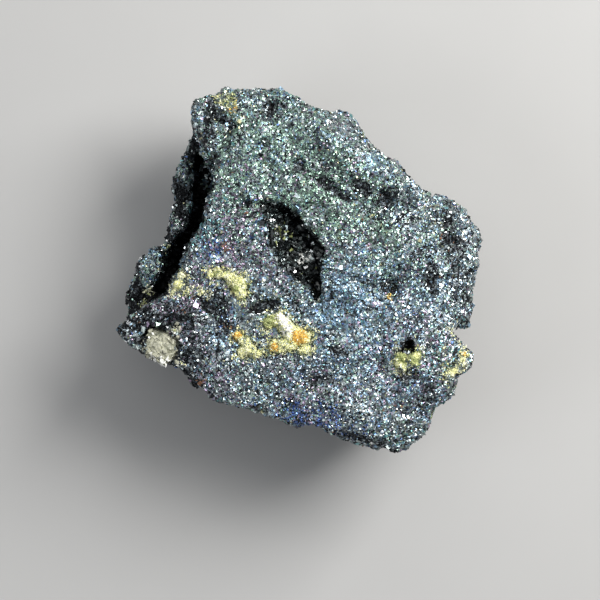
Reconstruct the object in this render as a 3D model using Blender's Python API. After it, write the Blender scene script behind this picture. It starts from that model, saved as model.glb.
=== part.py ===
"""A broken lump of fine-grained galena with a crystal-lined hollow, yellow crusts and a quartz grain.

The rock lies on its back on a small flat spot, with its roughest, brightest face up.
Metres, +Z up. The origin is on the surface it lies on, under the middle of its box.
"""

import math

import bmesh
import bpy
from mathutils import Matrix, Vector, noise
from mathutils.bvhtree import BVHTree

MM = 0.001

# Driving dimensions, in millimetres: the upper face and its ledges
FACE_HEIGHT = 34.6
LEDGE_HEIGHT = 22.5
CREVICE_FLOOR = 11.5
BASE_SINK = 1.6

# Gap between a mineral and the rock that it sits in
SEAT_GAP = 0.3

# Mesh sizes
ROCK_VOXEL = 0.8
ROCK_TRIANGLES = 5150
HOLLOW_VOXEL = 0.7
CRUST_VOXEL = 0.45
CRUST_TRIANGLES = 170

# The rock seen from above, clockwise from its top left corner, right of the crevice
MAIN_OUTLINE = [
    (-20.9, 34.0), (-17.2, 35.4), (-14.3, 36.2), (-3.6, 35.9), (-1.3, 34.5), (1.7, 33.3),
    (6.4, 31.5), (10.2, 31.0), (13.0, 28.7), (16.3, 25.4), (18.8, 22.1), (23.3, 18.2),
    (27.5, 15.6), (31.2, 13.4), (34.2, 11.8), (35.2, 9.6), (36.6, 7.4), (36.6, 4.2),
    (35.5, -1.5), (34.7, -6.5), (34.3, -11.2), (30.4, -11.2), (30.4, -12.8), (32.4, -13.7),
    (34.3, -15.8), (34.1, -18.5), (31.7, -21.1), (30.9, -23.8), (28.1, -26.1), (26.4, -27.1),
    (26.4, -29.5), (23.7, -33.7), (19.4, -36.6), (17.6, -35.8), (13.4, -34.2), (7.7, -33.0),
    (3.1, -31.4), (-3.3, -29.5), (-7.6, -27.7), (-14.9, -26.4),
    (-17.6, -24.1), (-20.6, -23.1), (-21.9, -20.8), (-25.6, -18.8), (-28.3, -17.8),
    (-31.6, -15.5), (-35.6, -12.8), (-36.3, -11.1), (-35.2, -10.8), (-32.8, -8.8),
    (-30.4, -6.8), (-28.4, -5.0), (-26.0, -3.4), (-23.6, 0.4), (-22.6, 3.4), (-22.0, 6.2),
    (-19.4, 9.2), (-18.4, 13.0), (-17.2, 16.4), (-16.8, 18.4), (-18.2, 22.2), (-21.2, 28.6),
]

# The lower ledge outside the crevice, clockwise
LEDGE_OUTLINE = [
    (-20.4, 29.5), (-20.2, 25.0), (-20.8, 22.0), (-21.2, 11.0), (-23.2, 7.2), (-26.0, 4.8),
    (-26.7, 3.4), (-27.5, -0.6), (-28.9, -3.4), (-30.6, -5.2), (-31.0, -8.2), (-34.3, -10.0),
    (-34.3, -6.5), (-33.6, -3.1), (-32.3, 2.9), (-28.9, 4.2), (-25.9, 6.2), (-25.3, 10.9),
    (-24.0, 11.9), (-24.0, 15.5), (-25.1, 16.5), (-24.4, 18.2), (-24.3, 20.9), (-22.5, 24.2),
]

# The lip that stands out under the lower edge
LIP_OUTLINE = [
    (6.0, -30.0), (19.0, -34.0), (19.4, -36.2), (17.1, -36.0), (13.7, -36.0), (11.6, -35.1),
    (9.7, -33.9), (5.7, -32.4),
]
LIP_HEIGHT = 24.0

# The rock under the crevice's floor: the whole outline without its small steps
CORE_OUTLINE = [
    (-20.2, 32.0), (-14.3, 34.9), (-3.6, 34.7), (9.4, 29.9), (18.0, 21.0), (26.8, 14.4),
    (33.6, 11.0), (35.2, 6.4), (33.9, -7.5), (29.8, -11.9), (33.0, -17.0), (30.2, -23.2),
    (25.6, -28.8), (19.4, -35.4), (13.7, -35.6), (9.7, -32.9), (3.1, -29.8), (-14.9, -25.1), (-25.6, -17.8),
    (-34.4, -12.6), (-33.6, -9.0), (-32.8, -3.1), (-31.5, 2.3), (-25.0, 5.6), (-24.4, 10.9),
    (-22.9, 12.9), (-23.0, 20.0), (-21.0, 25.5),
]

# Fracture planes: compass direction and distance of a point on the plane, its height,
# and how far the plane dips outwards (0 is level, 90 an upright wall, above 90 an undercut)
FACE_PLANES = {
    "lower left slope": (222, 12.0, 34.4, 8),
    "left slope": (180, 12.0, 34.6, 6),
    "right facet": (2, 28.0, 34.2, 26),
    "north east chamfer": (51, 27.0, 33.6, 46),
    "north facet": (66, 30.0, 33.2, 24),
    "north rim": (98, 33.4, 34.4, 30),
    "south rim": (256, 30.0, 34.2, 22),
    "south east slope": (318, 33.0, 34.2, 20),
}
WALL_PLANES = {
    "north wall": (92, 36.4, 27.0, 97),
    "north east wall": (48, 31.0, 22.0, 99),
    "east wall": (-4, 36.3, 18.0, 95),
    "south east wall": (-40, 38.6, 24.0, 100),
    "south wall": (256, 34.2, 12.0, 84),
    "south west wall": (238, 33.2, 20.0, 98),
}
UNDER_PLANES = {
    "under east": (12, 18.0, 0.0, 143),
    "under north east": (55, 15.0, 0.0, 151),
    "under north": (104, 17.0, 0.0, 139),
    "under north west": (150, 15.0, 0.0, 147),
    "under west": (190, 18.0, 0.0, 141),
    "under south west": (232, 16.0, 0.0, 150),
    "under south": (272, 19.0, 0.0, 137),
    "under south east": (318, 18.0, 0.0, 148),
}

LEDGE_PLANES = [(176, 28.0, LEDGE_HEIGHT, 17), (252, 9.0, LEDGE_HEIGHT, 32)]
LIP_PLANES = [(256, 32.0, LIP_HEIGHT, 30)]

# Relief of the upper face: centre, radius and height of each lump, hollow or pit
LUMPS = [
    ((4.0, 26.5), 3.4, 0.9), ((-9.5, 24.0), 5.0, 0.6), ((20.0, 4.0), 5.5, 0.5), ((-12.0, 9.0), 4.0, 0.7),
    ((22.5, -15.5), 4.2, 0.8), ((10.0, -27.0), 4.6, 0.7), ((-20.0, -14.0), 4.0, 0.8), ((30.6, -5.5), 2.6, 0.6),
    ((28.0, -20.5), 3.2, 0.6), ((-25.8, -9.0), 3.0, 0.7), ((7.5, 6.5), 2.6, 0.7), ((-6.5, -20.5), 4.4, 0.6),
    ((-5.4, 31.8), 1.7, -1.3), ((-14.8, 30.4), 2.4, -1.6), ((-14.4, 26.6), 2.4, -1.4), ((0.0, 21.0), 1.3, -1.0),
    ((17.4, 13.6), 2.5, -1.3), ((18.4, -3.8), 2.3, -1.1), ((26.6, -2.4), 2.2, -0.8), ((-17.4, -6.8), 3.4, -1.4),
    ((-6.4, -7.2), 2.6, -1.2), ((-23.4, 8.8), 1.6, 1.6), ((-23.0, 18.6), 2.0, 1.8), ((16.0, -19.0), 2.4, -0.8),
]

# Ridges and grooves: ends, half width and height
RIDGES = [
    ((0.4, 33.2), (5.0, 27.0), 1.7, 0.9),
    ((5.0, 27.0), (10.4, 19.2), 1.8, 0.8),
    ((16.0, 23.0), (25.6, 14.0), 1.3, 0.7),
    ((-19.0, -1.0), (-23.0, -8.0), 1.4, 0.7),
    ((24.0, -8.0), (27.5, -14.0), 1.5, 0.6),
    ((3.0, 17.6), (11.0, 13.4), 0.9, -1.0),
    ((9.8, 17.2), (13.6, 15.0), 0.8, -0.9),
    ((1.4, -20.8), (5.4, -22.2), 0.8, -0.7),
    ((-20.4, 20.8), (-18.2, 30.0), 1.2, -0.8),
]

# Flat cleavage faces: centre, radius, and slope towards +X and +Y
CLEAVAGE_FACES = [
    ((-17.4, 23.8), 2.8, -0.16, 0.05),
    ((-10.6, -7.0), 3.2, 0.04, 0.10),
    ((8.6, 29.0), 3.4, -0.10, -0.20),
    ((10.0, -11.8), 3.2, 0.09, -0.05),
    ((14.6, 21.2), 2.0, 0.12, 0.08),
    ((27.0, -1.6), 2.2, -0.05, 0.10),
    ((-1.0, -24.5), 2.8, -0.08, -0.07),
    ((22.0, 9.4), 2.6, 0.10, -0.02),
]

# Broad cleavage faces of the sides and the back: compass direction, height, radius,
# and how far the face is turned and tipped up from looking straight out
SIDE_CLEAVAGE = [
    (-96, 17.0, 9.0, 12, 4), (-70, 24.0, 6.5, -14, 16), (-36, 14.0, 7.5, 10, -18), (2, 19.0, 8.5, -9, 6),
    (30, 11.0, 7.0, 14, -30), (58, 21.0, 9.0, -6, -4), (96, 14.0, 8.0, 10, -14), (118, 24.0, 6.0, -12, 8),
    (172, 10.0, 7.0, 8, -26), (208, 8.0, 8.0, -10, -34), (238, 18.0, 8.5, 9, -4), (-120, 8.0, 7.0, -12, -36),
]
SIDE_CLEAVAGE_DEPTH = 1.1

# Single galena cubes that stand out of the upper face: place from above, edge, turn and tip
CLEAVAGE_CUBES = [
    ((22.4, 15.6), 3.0, 24, 8), ((30.8, 6.6), 2.8, 70, 12), ((31.8, -8.6), 2.8, 10, 9),
    ((-9.8, 15.0), 2.4, 50, 7), ((-11.4, 27.2), 2.8, 35, 10), ((-2.6, 33.0), 2.3, 15, 6),
    ((27.6, 10.6), 2.6, 62, 9), ((9.0, 22.4), 2.4, 40, 8),
]
CUBE_STAND = 0.7

# Rough blocks of the broken rock: cell size, height of the steps, tilt of the block faces,
# and where the pattern starts
COARSE_BLOCKS = (6.5, 0.75, 0.85, 3.0)
FINE_BLOCKS = (3.1, 0.34, 0.42, 9.0)
WALL_BLOCKS = (13.0, 1.9, 1.5, 17.0)
WALL_CHIPS = (4.6, 1.3, 1.0, 23.0)
HOLLOW_BLOCKS = (3.4, 0.7, 0.8, 5.0)
CRUST_KNOBS = (1.3, 0.35, 0.3, 2.0)
PIT_BLOCKS = (1.1, 0.35, 0.3, 4.0)

# The walls stand out a little, and the thin ledge left of this edge is not chipped
WALL_SWELL = 0.4
THIN_LEDGE_EDGE = -19.5

# Where the rock's side is broken back around the quartz grain: centre, radius, depth
QUARTZ_RECESS = (Vector((-28.6, -17.8, 29.0)), 6.0, 1.1)

# The central hollow seen from above, clockwise, with the crack at its lower end
HOLLOW_OUTLINE = [
    (-9.0, 14.6), (-4.8, 14.8), (-1.6, 12.8), (0.8, 10.5), (3.0, 7.8), (5.8, 4.8), (5.0, 2.6),
    (5.0, -0.2), (4.7, -5.6), (3.5, -7.2), (2.5, -5.8), (2.3, -3.3), (0.8, -3.0), (-0.8, -1.2),
    (-3.2, 0.2), (-5.7, 3.4), (-7.2, 6.2), (-6.8, 9.8), (-8.6, 12.4),
]
HOLLOW_FLOOR = 25.4
HOLLOW_SHALLOW_SIDE = 29.6
HOLLOW_MIDDLE = (-1.0, 4.0)
HOLLOW_WIDTH = 14.8
HOLLOW_TOP = FACE_HEIGHT + 4
HOLLOW_DRAW = 0.12
HOLLOW_UNDERCUT = 1.5
HOLLOW_TRIANGLES = 280

# Crystals of the hollow's crust: place from above, edge length
VUG_CRYSTALS = [
    ((-6.4, 11.8), 2.4), ((-3.6, 11.2), 2.2), ((-4.8, 8.2), 2.8), ((-1.8, 8.6), 2.1), ((-4.6, 5.2), 2.4),
    ((-1.6, 5.4), 2.8), ((0.9, 6.4), 1.9), ((-2.4, 2.4), 2.3), ((0.4, 2.8), 2.7), ((2.8, 3.6), 2.0),
    ((1.6, 0.0), 2.4), ((3.3, -1.8), 1.7),
]
VUG_CRUST_THICKNESS = 1.3
LINING_GAP = 0.07
VUG_CRUST_TOP = 32.2

# The small deep pit in the lower right
PIT_CENTRE = (21.9, -14.9)
PIT_RADIUS = 1.15
PIT_DEPTH = 4.2

# Crusts: the lumps of each, as place from above and radius
CRUSTS = {
    "yellow_crust_upper": [
        ((-17.2, -0.6), 1.0), ((-15.6, -0.5), 1.2), ((-13.8, -1.0), 1.2), ((-12.4, -1.9), 1.5),
        ((-11.6, -3.3), 1.6), ((-11.0, -4.6), 1.3),
    ],
    "yellow_crust_lower": [
        ((-5.0, -9.6), 1.3), ((-3.4, -9.4), 1.4), ((-2.4, -11.0), 1.7), ((-0.8, -12.2), 1.8),
        ((1.0, -13.2), 1.9), ((-1.4, -14.2), 1.7), ((-3.2, -14.6), 1.4), ((-4.8, -14.9), 1.3),
        ((1.2, -15.4), 1.3), ((-6.0, -10.6), 1.1),
    ],
    "yellow_crust_small": [
        ((-11.8, -12.9), 1.1), ((-10.4, -14.0), 1.3), ((-9.4, -15.4), 1.4), ((-11.0, -16.0), 1.2),
        ((-8.0, -16.4), 1.0),
    ],
    "pit_crust": [
        ((20.4, -16.9), 1.2), ((22.6, -17.5), 1.3), ((21.0, -19.0), 1.2), ((19.8, -18.4), 1.0),
        ((23.6, -16.4), 0.9),
    ],
    "edge_crust": [
        ((32.0, -18.2), 1.1), ((31.0, -19.4), 1.2), ((29.6, -20.5), 1.1), ((32.2, -16.7), 0.9),
    ],
    "crevice_crust": [
        ((-22.8, -1.0), 1.0), ((-23.6, -2.5), 1.1), ((-22.6, -3.2), 1.0), ((-24.6, -4.2), 0.9),
    ],
}
CRUST_RISE = 0.35
CRUST_FLATNESS = 0.75

# The quartz grain in the lower left edge: its middle from above, how far it stands up,
# its depth, and its facets as in the fracture planes, measured from its middle and its top
QUARTZ_MIDDLE = (-27.2, -14.9)
QUARTZ_RISE = 0.8
QUARTZ_DEPTH = 7.0
QUARTZ_FACETS = [
    (25, 1.3, 0, 19), (108, 1.8, 0, 25), (178, 1.0, 0, 16), (243, 1.9, 0, 41), (318, 1.4, 0, 23),
    (4, 3.8, -3, 83), (48, 4.0, -3, 97), (92, 3.8, -2, 79), (136, 3.7, -3, 99), (168, 4.0, -2, 86),
    (208, 4.0, -2, 80), (238, 3.5, -2, 91), (282, 4.0, -3, 97), (326, 3.8, -3, 84), (250, 2.2, -7, 128),
]


# Materials

def principled(name, colour, metallic, roughness):
    material = bpy.data.materials.new(name)
    material.use_nodes = True
    material.diffuse_color = (*colour, 1.0)
    shader = material.node_tree.nodes["Principled BSDF"]
    shader.inputs["Base Color"].default_value = (*colour, 1.0)
    shader.inputs["Metallic"].default_value = metallic
    shader.inputs["Roughness"].default_value = roughness
    return material


# Mesh helpers

def new_object(name, mesh):
    made = bpy.data.objects.new(name, mesh)
    bpy.context.scene.collection.objects.link(made)
    return made


def remove_object(unwanted):
    mesh = unwanted.data
    bpy.data.objects.remove(unwanted)
    bpy.data.meshes.remove(mesh)


def object_from_bmesh(name, shape):
    bmesh.ops.recalc_face_normals(shape, faces=shape.faces)
    mesh = bpy.data.meshes.new(name)
    shape.to_mesh(mesh)
    shape.free()
    return new_object(name, mesh)


def apply_modifiers(target):
    """Turns the object's mesh into what its modifiers make of it."""
    graph = bpy.context.evaluated_depsgraph_get()
    made = bpy.data.meshes.new_from_object(target.evaluated_get(graph))
    spent = target.data
    target.modifiers.clear()
    target.data = made
    bpy.data.meshes.remove(spent)


def boolean(target, other, operation):
    """Cuts, joins or intersects the target with the other object, which is used up."""
    step = target.modifiers.new("boolean", "BOOLEAN")
    step.object = other
    step.operation = operation
    step.solver = "EXACT"
    apply_modifiers(target)
    remove_object(other)


def remesh(target, voxel):
    step = target.modifiers.new("remesh", "REMESH")
    step.mode = "VOXEL"
    step.voxel_size = voxel * MM
    apply_modifiers(target)


def decimate(target, triangles):
    mesh = target.data
    mesh.calc_loop_triangles()
    step = target.modifiers.new("decimate", "DECIMATE")
    step.ratio = triangles / len(mesh.loop_triangles)
    step.use_collapse_triangulate = True
    apply_modifiers(target)


def join(target, others):
    """Joins the other objects' closed shells into the target's mesh, still overlapping."""
    shape = bmesh.new()
    shape.from_mesh(target.data)
    for other in others:
        shape.from_mesh(other.data)
        remove_object(other)
    shape.to_mesh(target.data)
    shape.free()


def move_vertices(target, place):
    """Moves each vertex to place(position in millimetres, normal), also in millimetres."""
    mesh = target.data
    moved = [place(vertex.co / MM, vertex.normal.copy()) for vertex in mesh.vertices]
    for vertex, position in zip(mesh.vertices, moved):
        vertex.co = position * MM
    mesh.update()


def prism(name, outline, bottom, top):
    """An upright prism over an outline, in millimetres."""
    shape = bmesh.new()
    low = [shape.verts.new((x * MM, y * MM, bottom * MM)) for x, y in outline]
    floor = shape.faces.new(low)
    raised = bmesh.ops.extrude_face_region(shape, geom=[floor])["geom"]
    corners = [item for item in raised if isinstance(item, bmesh.types.BMVert)]
    bmesh.ops.translate(shape, verts=corners, vec=(0, 0, (top - bottom) * MM))
    return object_from_bmesh(name, shape)


def slab(name, bottom, top):
    """A level slab wider than the rock."""
    return prism(name, [(-60, -60), (60, -60), (60, 60), (-60, 60)], bottom, top)


def fracture_block(name, planes, bottom, top):
    """A convex block cut from a slab by fracture planes."""
    shape = bmesh.new()
    reach = 60 * MM
    bmesh.ops.create_cube(shape, size=1.0)
    bmesh.ops.scale(shape, vec=(2 * reach, 2 * reach, (top - bottom) * MM), verts=shape.verts)
    bmesh.ops.translate(shape, vec=(0, 0, (top + bottom) / 2 * MM), verts=shape.verts)
    for direction, distance, height, dip in planes:
        turn = math.radians(direction)
        lean = math.radians(dip)
        outward = Vector((math.cos(turn), math.sin(turn), 0))
        point = outward * distance * MM + Vector((0, 0, height * MM))
        normal = outward * math.sin(lean) + Vector((0, 0, math.cos(lean)))
        everything = shape.verts[:] + shape.edges[:] + shape.faces[:]
        bmesh.ops.bisect_plane(
            shape, geom=everything, dist=1e-7, plane_co=point, plane_no=normal, clear_outer=True
        )
        rim = [edge for edge in shape.edges if edge.is_boundary]
        bmesh.ops.edgeloop_fill(shape, edges=rim)
    return object_from_bmesh(name, shape)


# Surface relief

def smooth_bump(distance, radius):
    """1 at the centre, falling smoothly to 0 at the radius."""
    if distance >= radius:
        return 0.0
    share = 1 - distance / radius
    return share * share * (3 - 2 * share)


def distance_to_line(x, y, start, end):
    along = Vector(end) - Vector(start)
    offset = Vector((x, y)) - Vector(start)
    share = min(max(offset.dot(along) / along.length_squared, 0), 1)
    return (offset - along * share).length


def blocks(position, size, step, tilt, shift):
    """Broken blocks: each cell has its own height and its own tilted face."""
    scaled = position / size + Vector((shift, shift * 0.37, shift * 0.71))
    centre = Vector(noise.voronoi(scaled)[1][0])
    chance = noise.cell_vector(centre * 37.0) - Vector((0.5, 0.5, 0.5))
    return step * chance.x + tilt * 2 * chance.dot(scaled - centre)


def face_relief(x, y):
    """Height of the named lumps, hollows, ridges and grooves over the upper face."""
    height = 0.0
    for (cx, cy), radius, rise in LUMPS:
        height += rise * smooth_bump(math.hypot(x - cx, y - cy), radius * 1.25)
    for start, end, half_width, rise in RIDGES:
        height += rise * smooth_bump(distance_to_line(x, y, start, end), half_width * 1.5)
    return height


def rock_surface(position, normal, side_faces):
    """Where a point of the plain block lies on the broken, granular rock."""
    x, y, z = position
    up = max(normal.z, 0.0)
    wall = 1 - abs(normal.z)
    rough = blocks(position, *COARSE_BLOCKS) + blocks(position, *FINE_BLOCKS)
    rough += 0.22 * noise.fractal(position / 2.4, 1.0, 2.0, 3)
    upper = up if z > LEDGE_HEIGHT - 6 else 0.0
    for (cx, cy), radius, slope_x, slope_y in CLEAVAGE_FACES:
        share = upper * min(1.0, 2.0 * smooth_bump(math.hypot(x - cx, y - cy), radius))
        flat = slope_x * (x - cx) + slope_y * (y - cy)
        rough += (flat - rough) * share
    main_wall = wall if x > THIN_LEDGE_EDGE or z > LEDGE_HEIGHT else 0.2 * wall
    inward = min(0.0, blocks(position, *WALL_BLOCKS) - 0.5) * main_wall
    inward += min(0.0, blocks(position, *WALL_CHIPS) - 0.3) * main_wall
    recess_centre, recess_radius, recess_depth = QUARTZ_RECESS
    inward -= recess_depth * wall * min(1.0, 2 * smooth_bump((position - recess_centre).length, recess_radius))
    rough = min(rough * 0.75, 0.8 - 0.6 * wall) + WALL_SWELL * main_wall
    rise = face_relief(x, y) * upper
    moved = position + normal * (rough + inward) + Vector((0, 0, rise))
    for centre, radius, facing in side_faces:
        share = min(1.0, 2.2 * smooth_bump((position - centre).length, radius)) * (1 - up)
        moved -= facing * max(0.0, (moved - centre).dot(facing)) * share
    return moved


def side_cleavage(block):
    """Centre, radius and outward direction of each broad cleavage face on the plain block."""
    tree = tree_of(block)
    faces = []
    for compass, height, radius, turn, tip in SIDE_CLEAVAGE:
        towards = Matrix.Rotation(math.radians(compass), 3, "Z") @ Vector((1, 0, 0))
        start = towards * 60 + Vector((0, 0, height))
        centre = tree.ray_cast(start * MM, -towards)[0] / MM - towards * SIDE_CLEAVAGE_DEPTH
        turned = Matrix.Rotation(math.radians(compass + turn), 3, "Z")
        tipped = turned @ Matrix.Rotation(math.radians(-tip), 3, "Y")
        faces.append((centre, radius, tipped @ Vector((1, 0, 0))))
    return faces


# Pieces

def rock_block():
    """The rock before its hollow, pit and pockets are cut."""
    shared = list(UNDER_PLANES.values())
    main = fracture_block(
        "main", [*FACE_PLANES.values(), *WALL_PLANES.values(), *shared], -BASE_SINK, FACE_HEIGHT
    )
    boolean(main, prism("main outline", MAIN_OUTLINE, -5, FACE_HEIGHT + 5), "INTERSECT")
    ledge = fracture_block("ledge", [*LEDGE_PLANES, *shared], -BASE_SINK, LEDGE_HEIGHT)
    boolean(ledge, prism("ledge outline", LEDGE_OUTLINE, -5, FACE_HEIGHT), "INTERSECT")
    lip = fracture_block("lip", [*LIP_PLANES, *shared], -BASE_SINK, LIP_HEIGHT)
    boolean(lip, prism("lip outline", LIP_OUTLINE, -5, FACE_HEIGHT), "INTERSECT")
    core = fracture_block("core", shared, -BASE_SINK, CREVICE_FLOOR)
    boolean(core, prism("core outline", CORE_OUTLINE, -5, FACE_HEIGHT), "INTERSECT")
    join(main, [ledge, lip, core])
    remesh(main, ROCK_VOXEL)
    side_faces = side_cleavage(main)
    move_vertices(main, lambda position, normal: rock_surface(position, normal, side_faces))
    remesh(main, ROCK_VOXEL * 0.8)
    decimate(main, ROCK_TRIANGLES)
    tree = tree_of(main)
    for (x, y), edge, turn, tip in CLEAVAGE_CUBES:
        ground = height_over(tree, x, y)
        boolean(main, cube("cube", Vector((x, y, ground + CUBE_STAND - edge / 2)), edge, turn, tip), "UNION")
    boolean(main, slab("ground", -20, 0), "DIFFERENCE")
    return main


def sunk(x, y, depth_share):
    """A place on the hollow's outline, drawn in and moved right with depth, in millimetres."""
    right = min(1, 1.5 * (x - HOLLOW_OUTLINE[0][0]) / HOLLOW_WIDTH)
    floor = HOLLOW_SHALLOW_SIDE + (HOLLOW_FLOOR - HOLLOW_SHALLOW_SIDE) * right
    draw = 1 - HOLLOW_DRAW * depth_share
    return Vector((
        HOLLOW_MIDDLE[0] + (x - HOLLOW_MIDDLE[0]) * draw + HOLLOW_UNDERCUT * depth_share**2,
        HOLLOW_MIDDLE[1] + (y - HOLLOW_MIDDLE[1]) * draw,
        HOLLOW_TOP + (floor - HOLLOW_TOP) * depth_share,
    ))


def hollow_space():
    """The space of the central hollow, deepest and undercut on its right."""
    shape = bmesh.new()
    rings = [
        [shape.verts.new(sunk(x, y, depth_share) * MM) for x, y in HOLLOW_OUTLINE]
        for depth_share in (0.0, 0.55, 1.0)
    ]
    shape.faces.new(rings[0])
    shape.faces.new(list(reversed(rings[-1])))
    count = len(HOLLOW_OUTLINE)
    for upper, lower in zip(rings, rings[1:]):
        for i in range(count):
            j = (i + 1) % count
            shape.faces.new((upper[j], upper[i], lower[i], lower[j]))
    bmesh.ops.triangulate(shape, faces=[face for face in shape.faces if len(face.verts) > 4])
    made = object_from_bmesh("hollow", shape)
    remesh(made, HOLLOW_VOXEL)

    def rough_wall(position, normal):
        rough = blocks(position, *HOLLOW_BLOCKS) + 0.2 * noise.fractal(position / 1.6, 1.0, 2.0, 2)
        return position + normal * rough

    move_vertices(made, rough_wall)
    remesh(made, HOLLOW_VOXEL)
    decimate(made, HOLLOW_TRIANGLES)
    return made


def tree_of(target):
    mesh = target.data
    return BVHTree.FromPolygons(
        [vertex.co for vertex in mesh.vertices], [face.vertices[:] for face in mesh.polygons]
    )


def height_over(tree, x, y, start=60):
    """Height of the first surface under a place, in millimetres."""
    hit = tree.ray_cast(Vector((x, y, start)) * MM, Vector((0, 0, -1)))[0]
    return hit.z / MM


def grown(source, name, gap):
    """A copy of a piece, larger by the gap all round: the pocket that it sits in."""
    made = new_object(name, source.data.copy())
    move_vertices(made, lambda position, normal: position + normal * gap)
    return made


def cube(name, centre, edge, turn, tip):
    """A cube turned about its upright axis and tipped, in millimetres and degrees."""
    spin = Matrix.Rotation(math.radians(turn), 4, "Z") @ Matrix.Rotation(math.radians(tip), 4, "X")
    shape = bmesh.new()
    bmesh.ops.create_cube(shape, size=edge * MM, matrix=Matrix.Translation(centre * MM) @ spin)
    return object_from_bmesh(name, shape)


def crust(name, lumps, tree):
    """A knobbly crust of overlapping flattened lumps, seated in the rock's surface."""
    shape = bmesh.new()
    for (x, y), radius in lumps:
        ground = height_over(tree, x, y)
        place = Matrix.Translation(Vector((x, y, ground + CRUST_RISE - radius * 0.3)) * MM)
        size = Matrix.Diagonal((radius * MM, radius * MM, radius * CRUST_FLATNESS * MM, 1.0))
        bmesh.ops.create_icosphere(shape, subdivisions=2, radius=1.0, matrix=place @ size)
    made = object_from_bmesh(name, shape)
    remesh(made, CRUST_VOXEL)

    def knobbly(position, normal):
        return position + normal * (blocks(position, *CRUST_KNOBS) - 0.05)

    move_vertices(made, knobbly)
    decimate(made, CRUST_TRIANGLES)
    return made


def keep_largest(target):
    """Drops the crumbs that a cut leaves beside the main body."""
    shape = bmesh.new()
    shape.from_mesh(target.data)
    left = set(shape.verts)
    bodies = []
    while left:
        body = set()
        front = [left.pop()]
        while front:
            vertex = front.pop()
            body.add(vertex)
            beside = [edge.other_vert(vertex) for edge in vertex.link_edges]
            front += [other for other in beside if other in left]
            left.difference_update(beside)
        bodies.append(body)
    bodies.sort(key=len)
    crumbs = [vertex for body in bodies[:-1] for vertex in body]
    bmesh.ops.delete(shape, geom=crumbs, context="VERTS")
    shape.to_mesh(target.data)
    shape.free()


def vug_crust(hollow):
    """The crystals that line the hollow's floor and lower walls, grown together."""
    lining = grown(hollow, "vug_crystals", -SEAT_GAP - LINING_GAP)
    space = grown(hollow, "vug space", -SEAT_GAP - LINING_GAP)
    move_vertices(space, lambda position, normal: position + Vector((0, 0, VUG_CRUST_THICKNESS)))
    boolean(lining, space, "DIFFERENCE")
    floor = tree_of(hollow)
    for number, ((x, y), edge) in enumerate(VUG_CRYSTALS):
        at = sunk(x, y, 1.0)
        at.z = height_over(floor, at.x, at.y, FACE_HEIGHT) + VUG_CRUST_THICKNESS
        boolean(lining, cube("crystal", at, edge, number * 137, 30 + number * 97), "UNION")
    boolean(lining, grown(hollow, "vug limit", -SEAT_GAP), "INTERSECT")
    boolean(lining, slab("lid", VUG_CRUST_TOP, 60), "DIFFERENCE")
    keep_largest(lining)
    return lining


def pit_space(tree):
    """The narrow, crooked pit."""
    x, y = PIT_CENTRE
    ground = height_over(tree, x, y)
    shape = bmesh.new()
    size = Matrix.Diagonal((PIT_RADIUS, PIT_RADIUS * 1.25, PIT_DEPTH, 1.0 / MM)) * MM
    place = Matrix.Translation(Vector((x, y, ground + 0.8)) * MM)
    bmesh.ops.create_icosphere(shape, subdivisions=2, radius=1.0, matrix=place @ size)
    made = object_from_bmesh("pit", shape)
    move_vertices(made, lambda position, normal: position + normal * blocks(position, *PIT_BLOCKS))
    return made


def quartz_grain(tree):
    """An angular grain, wider than deep, all flat facets."""
    x, y = QUARTZ_MIDDLE
    top = height_over(tree, x, y) + QUARTZ_RISE
    grain = fracture_block("quartz_grain", QUARTZ_FACETS, -QUARTZ_DEPTH, 0)
    move_vertices(grain, lambda position, normal: position + Vector((x, y, top)))
    return grain


def finish(piece, material, shift):
    """Moves a piece into place over the origin and gives it its material."""
    piece.data.transform(Matrix.Translation(shift))
    piece.data.materials.clear()
    piece.data.materials.append(material)
    piece.data.shade_flat()


def shift_to_centre(rock):
    """The level move that puts the middle of the rock's box over the origin."""
    places = [vertex.co for vertex in rock.data.vertices]
    middle_x = (min(place.x for place in places) + max(place.x for place in places)) / 2
    middle_y = (min(place.y for place in places) + max(place.y for place in places)) / 2
    return Vector((-middle_x, -middle_y, 0))


def main():
    for old in list(bpy.data.objects):
        bpy.data.objects.remove(old)
    noise.seed_set(11)
    lead_grey = principled("galena", (0.26, 0.30, 0.31), 0.85, 0.38)
    dark_crystal = principled("vug_crystal", (0.10, 0.11, 0.11), 0.7, 0.35)
    quartz = principled("quartz", (0.48, 0.47, 0.36), 0.0, 0.35)
    yellow = principled("yellow_crust", (0.50, 0.50, 0.22), 0.0, 0.8)
    rock = rock_block()
    tree = tree_of(rock)
    rock.name = "galena_mass"
    crusts = [crust(name, lumps, tree) for name, lumps in CRUSTS.items()]
    grain = quartz_grain(tree)
    hollow = hollow_space()
    lining = vug_crust(hollow)
    boolean(rock, hollow, "DIFFERENCE")
    boolean(rock, pit_space(tree), "DIFFERENCE")
    for piece in [*crusts, grain]:
        boolean(rock, grown(piece, "pocket", SEAT_GAP), "DIFFERENCE")
    shift = shift_to_centre(rock)
    finish(rock, lead_grey, shift)
    finish(lining, dark_crystal, shift)
    finish(grain, quartz, shift)
    for piece in crusts:
        finish(piece, yellow, shift)


main()
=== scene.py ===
"""Dresses the galena specimen of model.glb: granular sparkling surface, hollow, crusts, quartz and stage.

Lengths that a user would change are scene properties in metres; places on the rock are in
millimetres, as in the CAD, with +Z out of the photographed face.
"""

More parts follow.
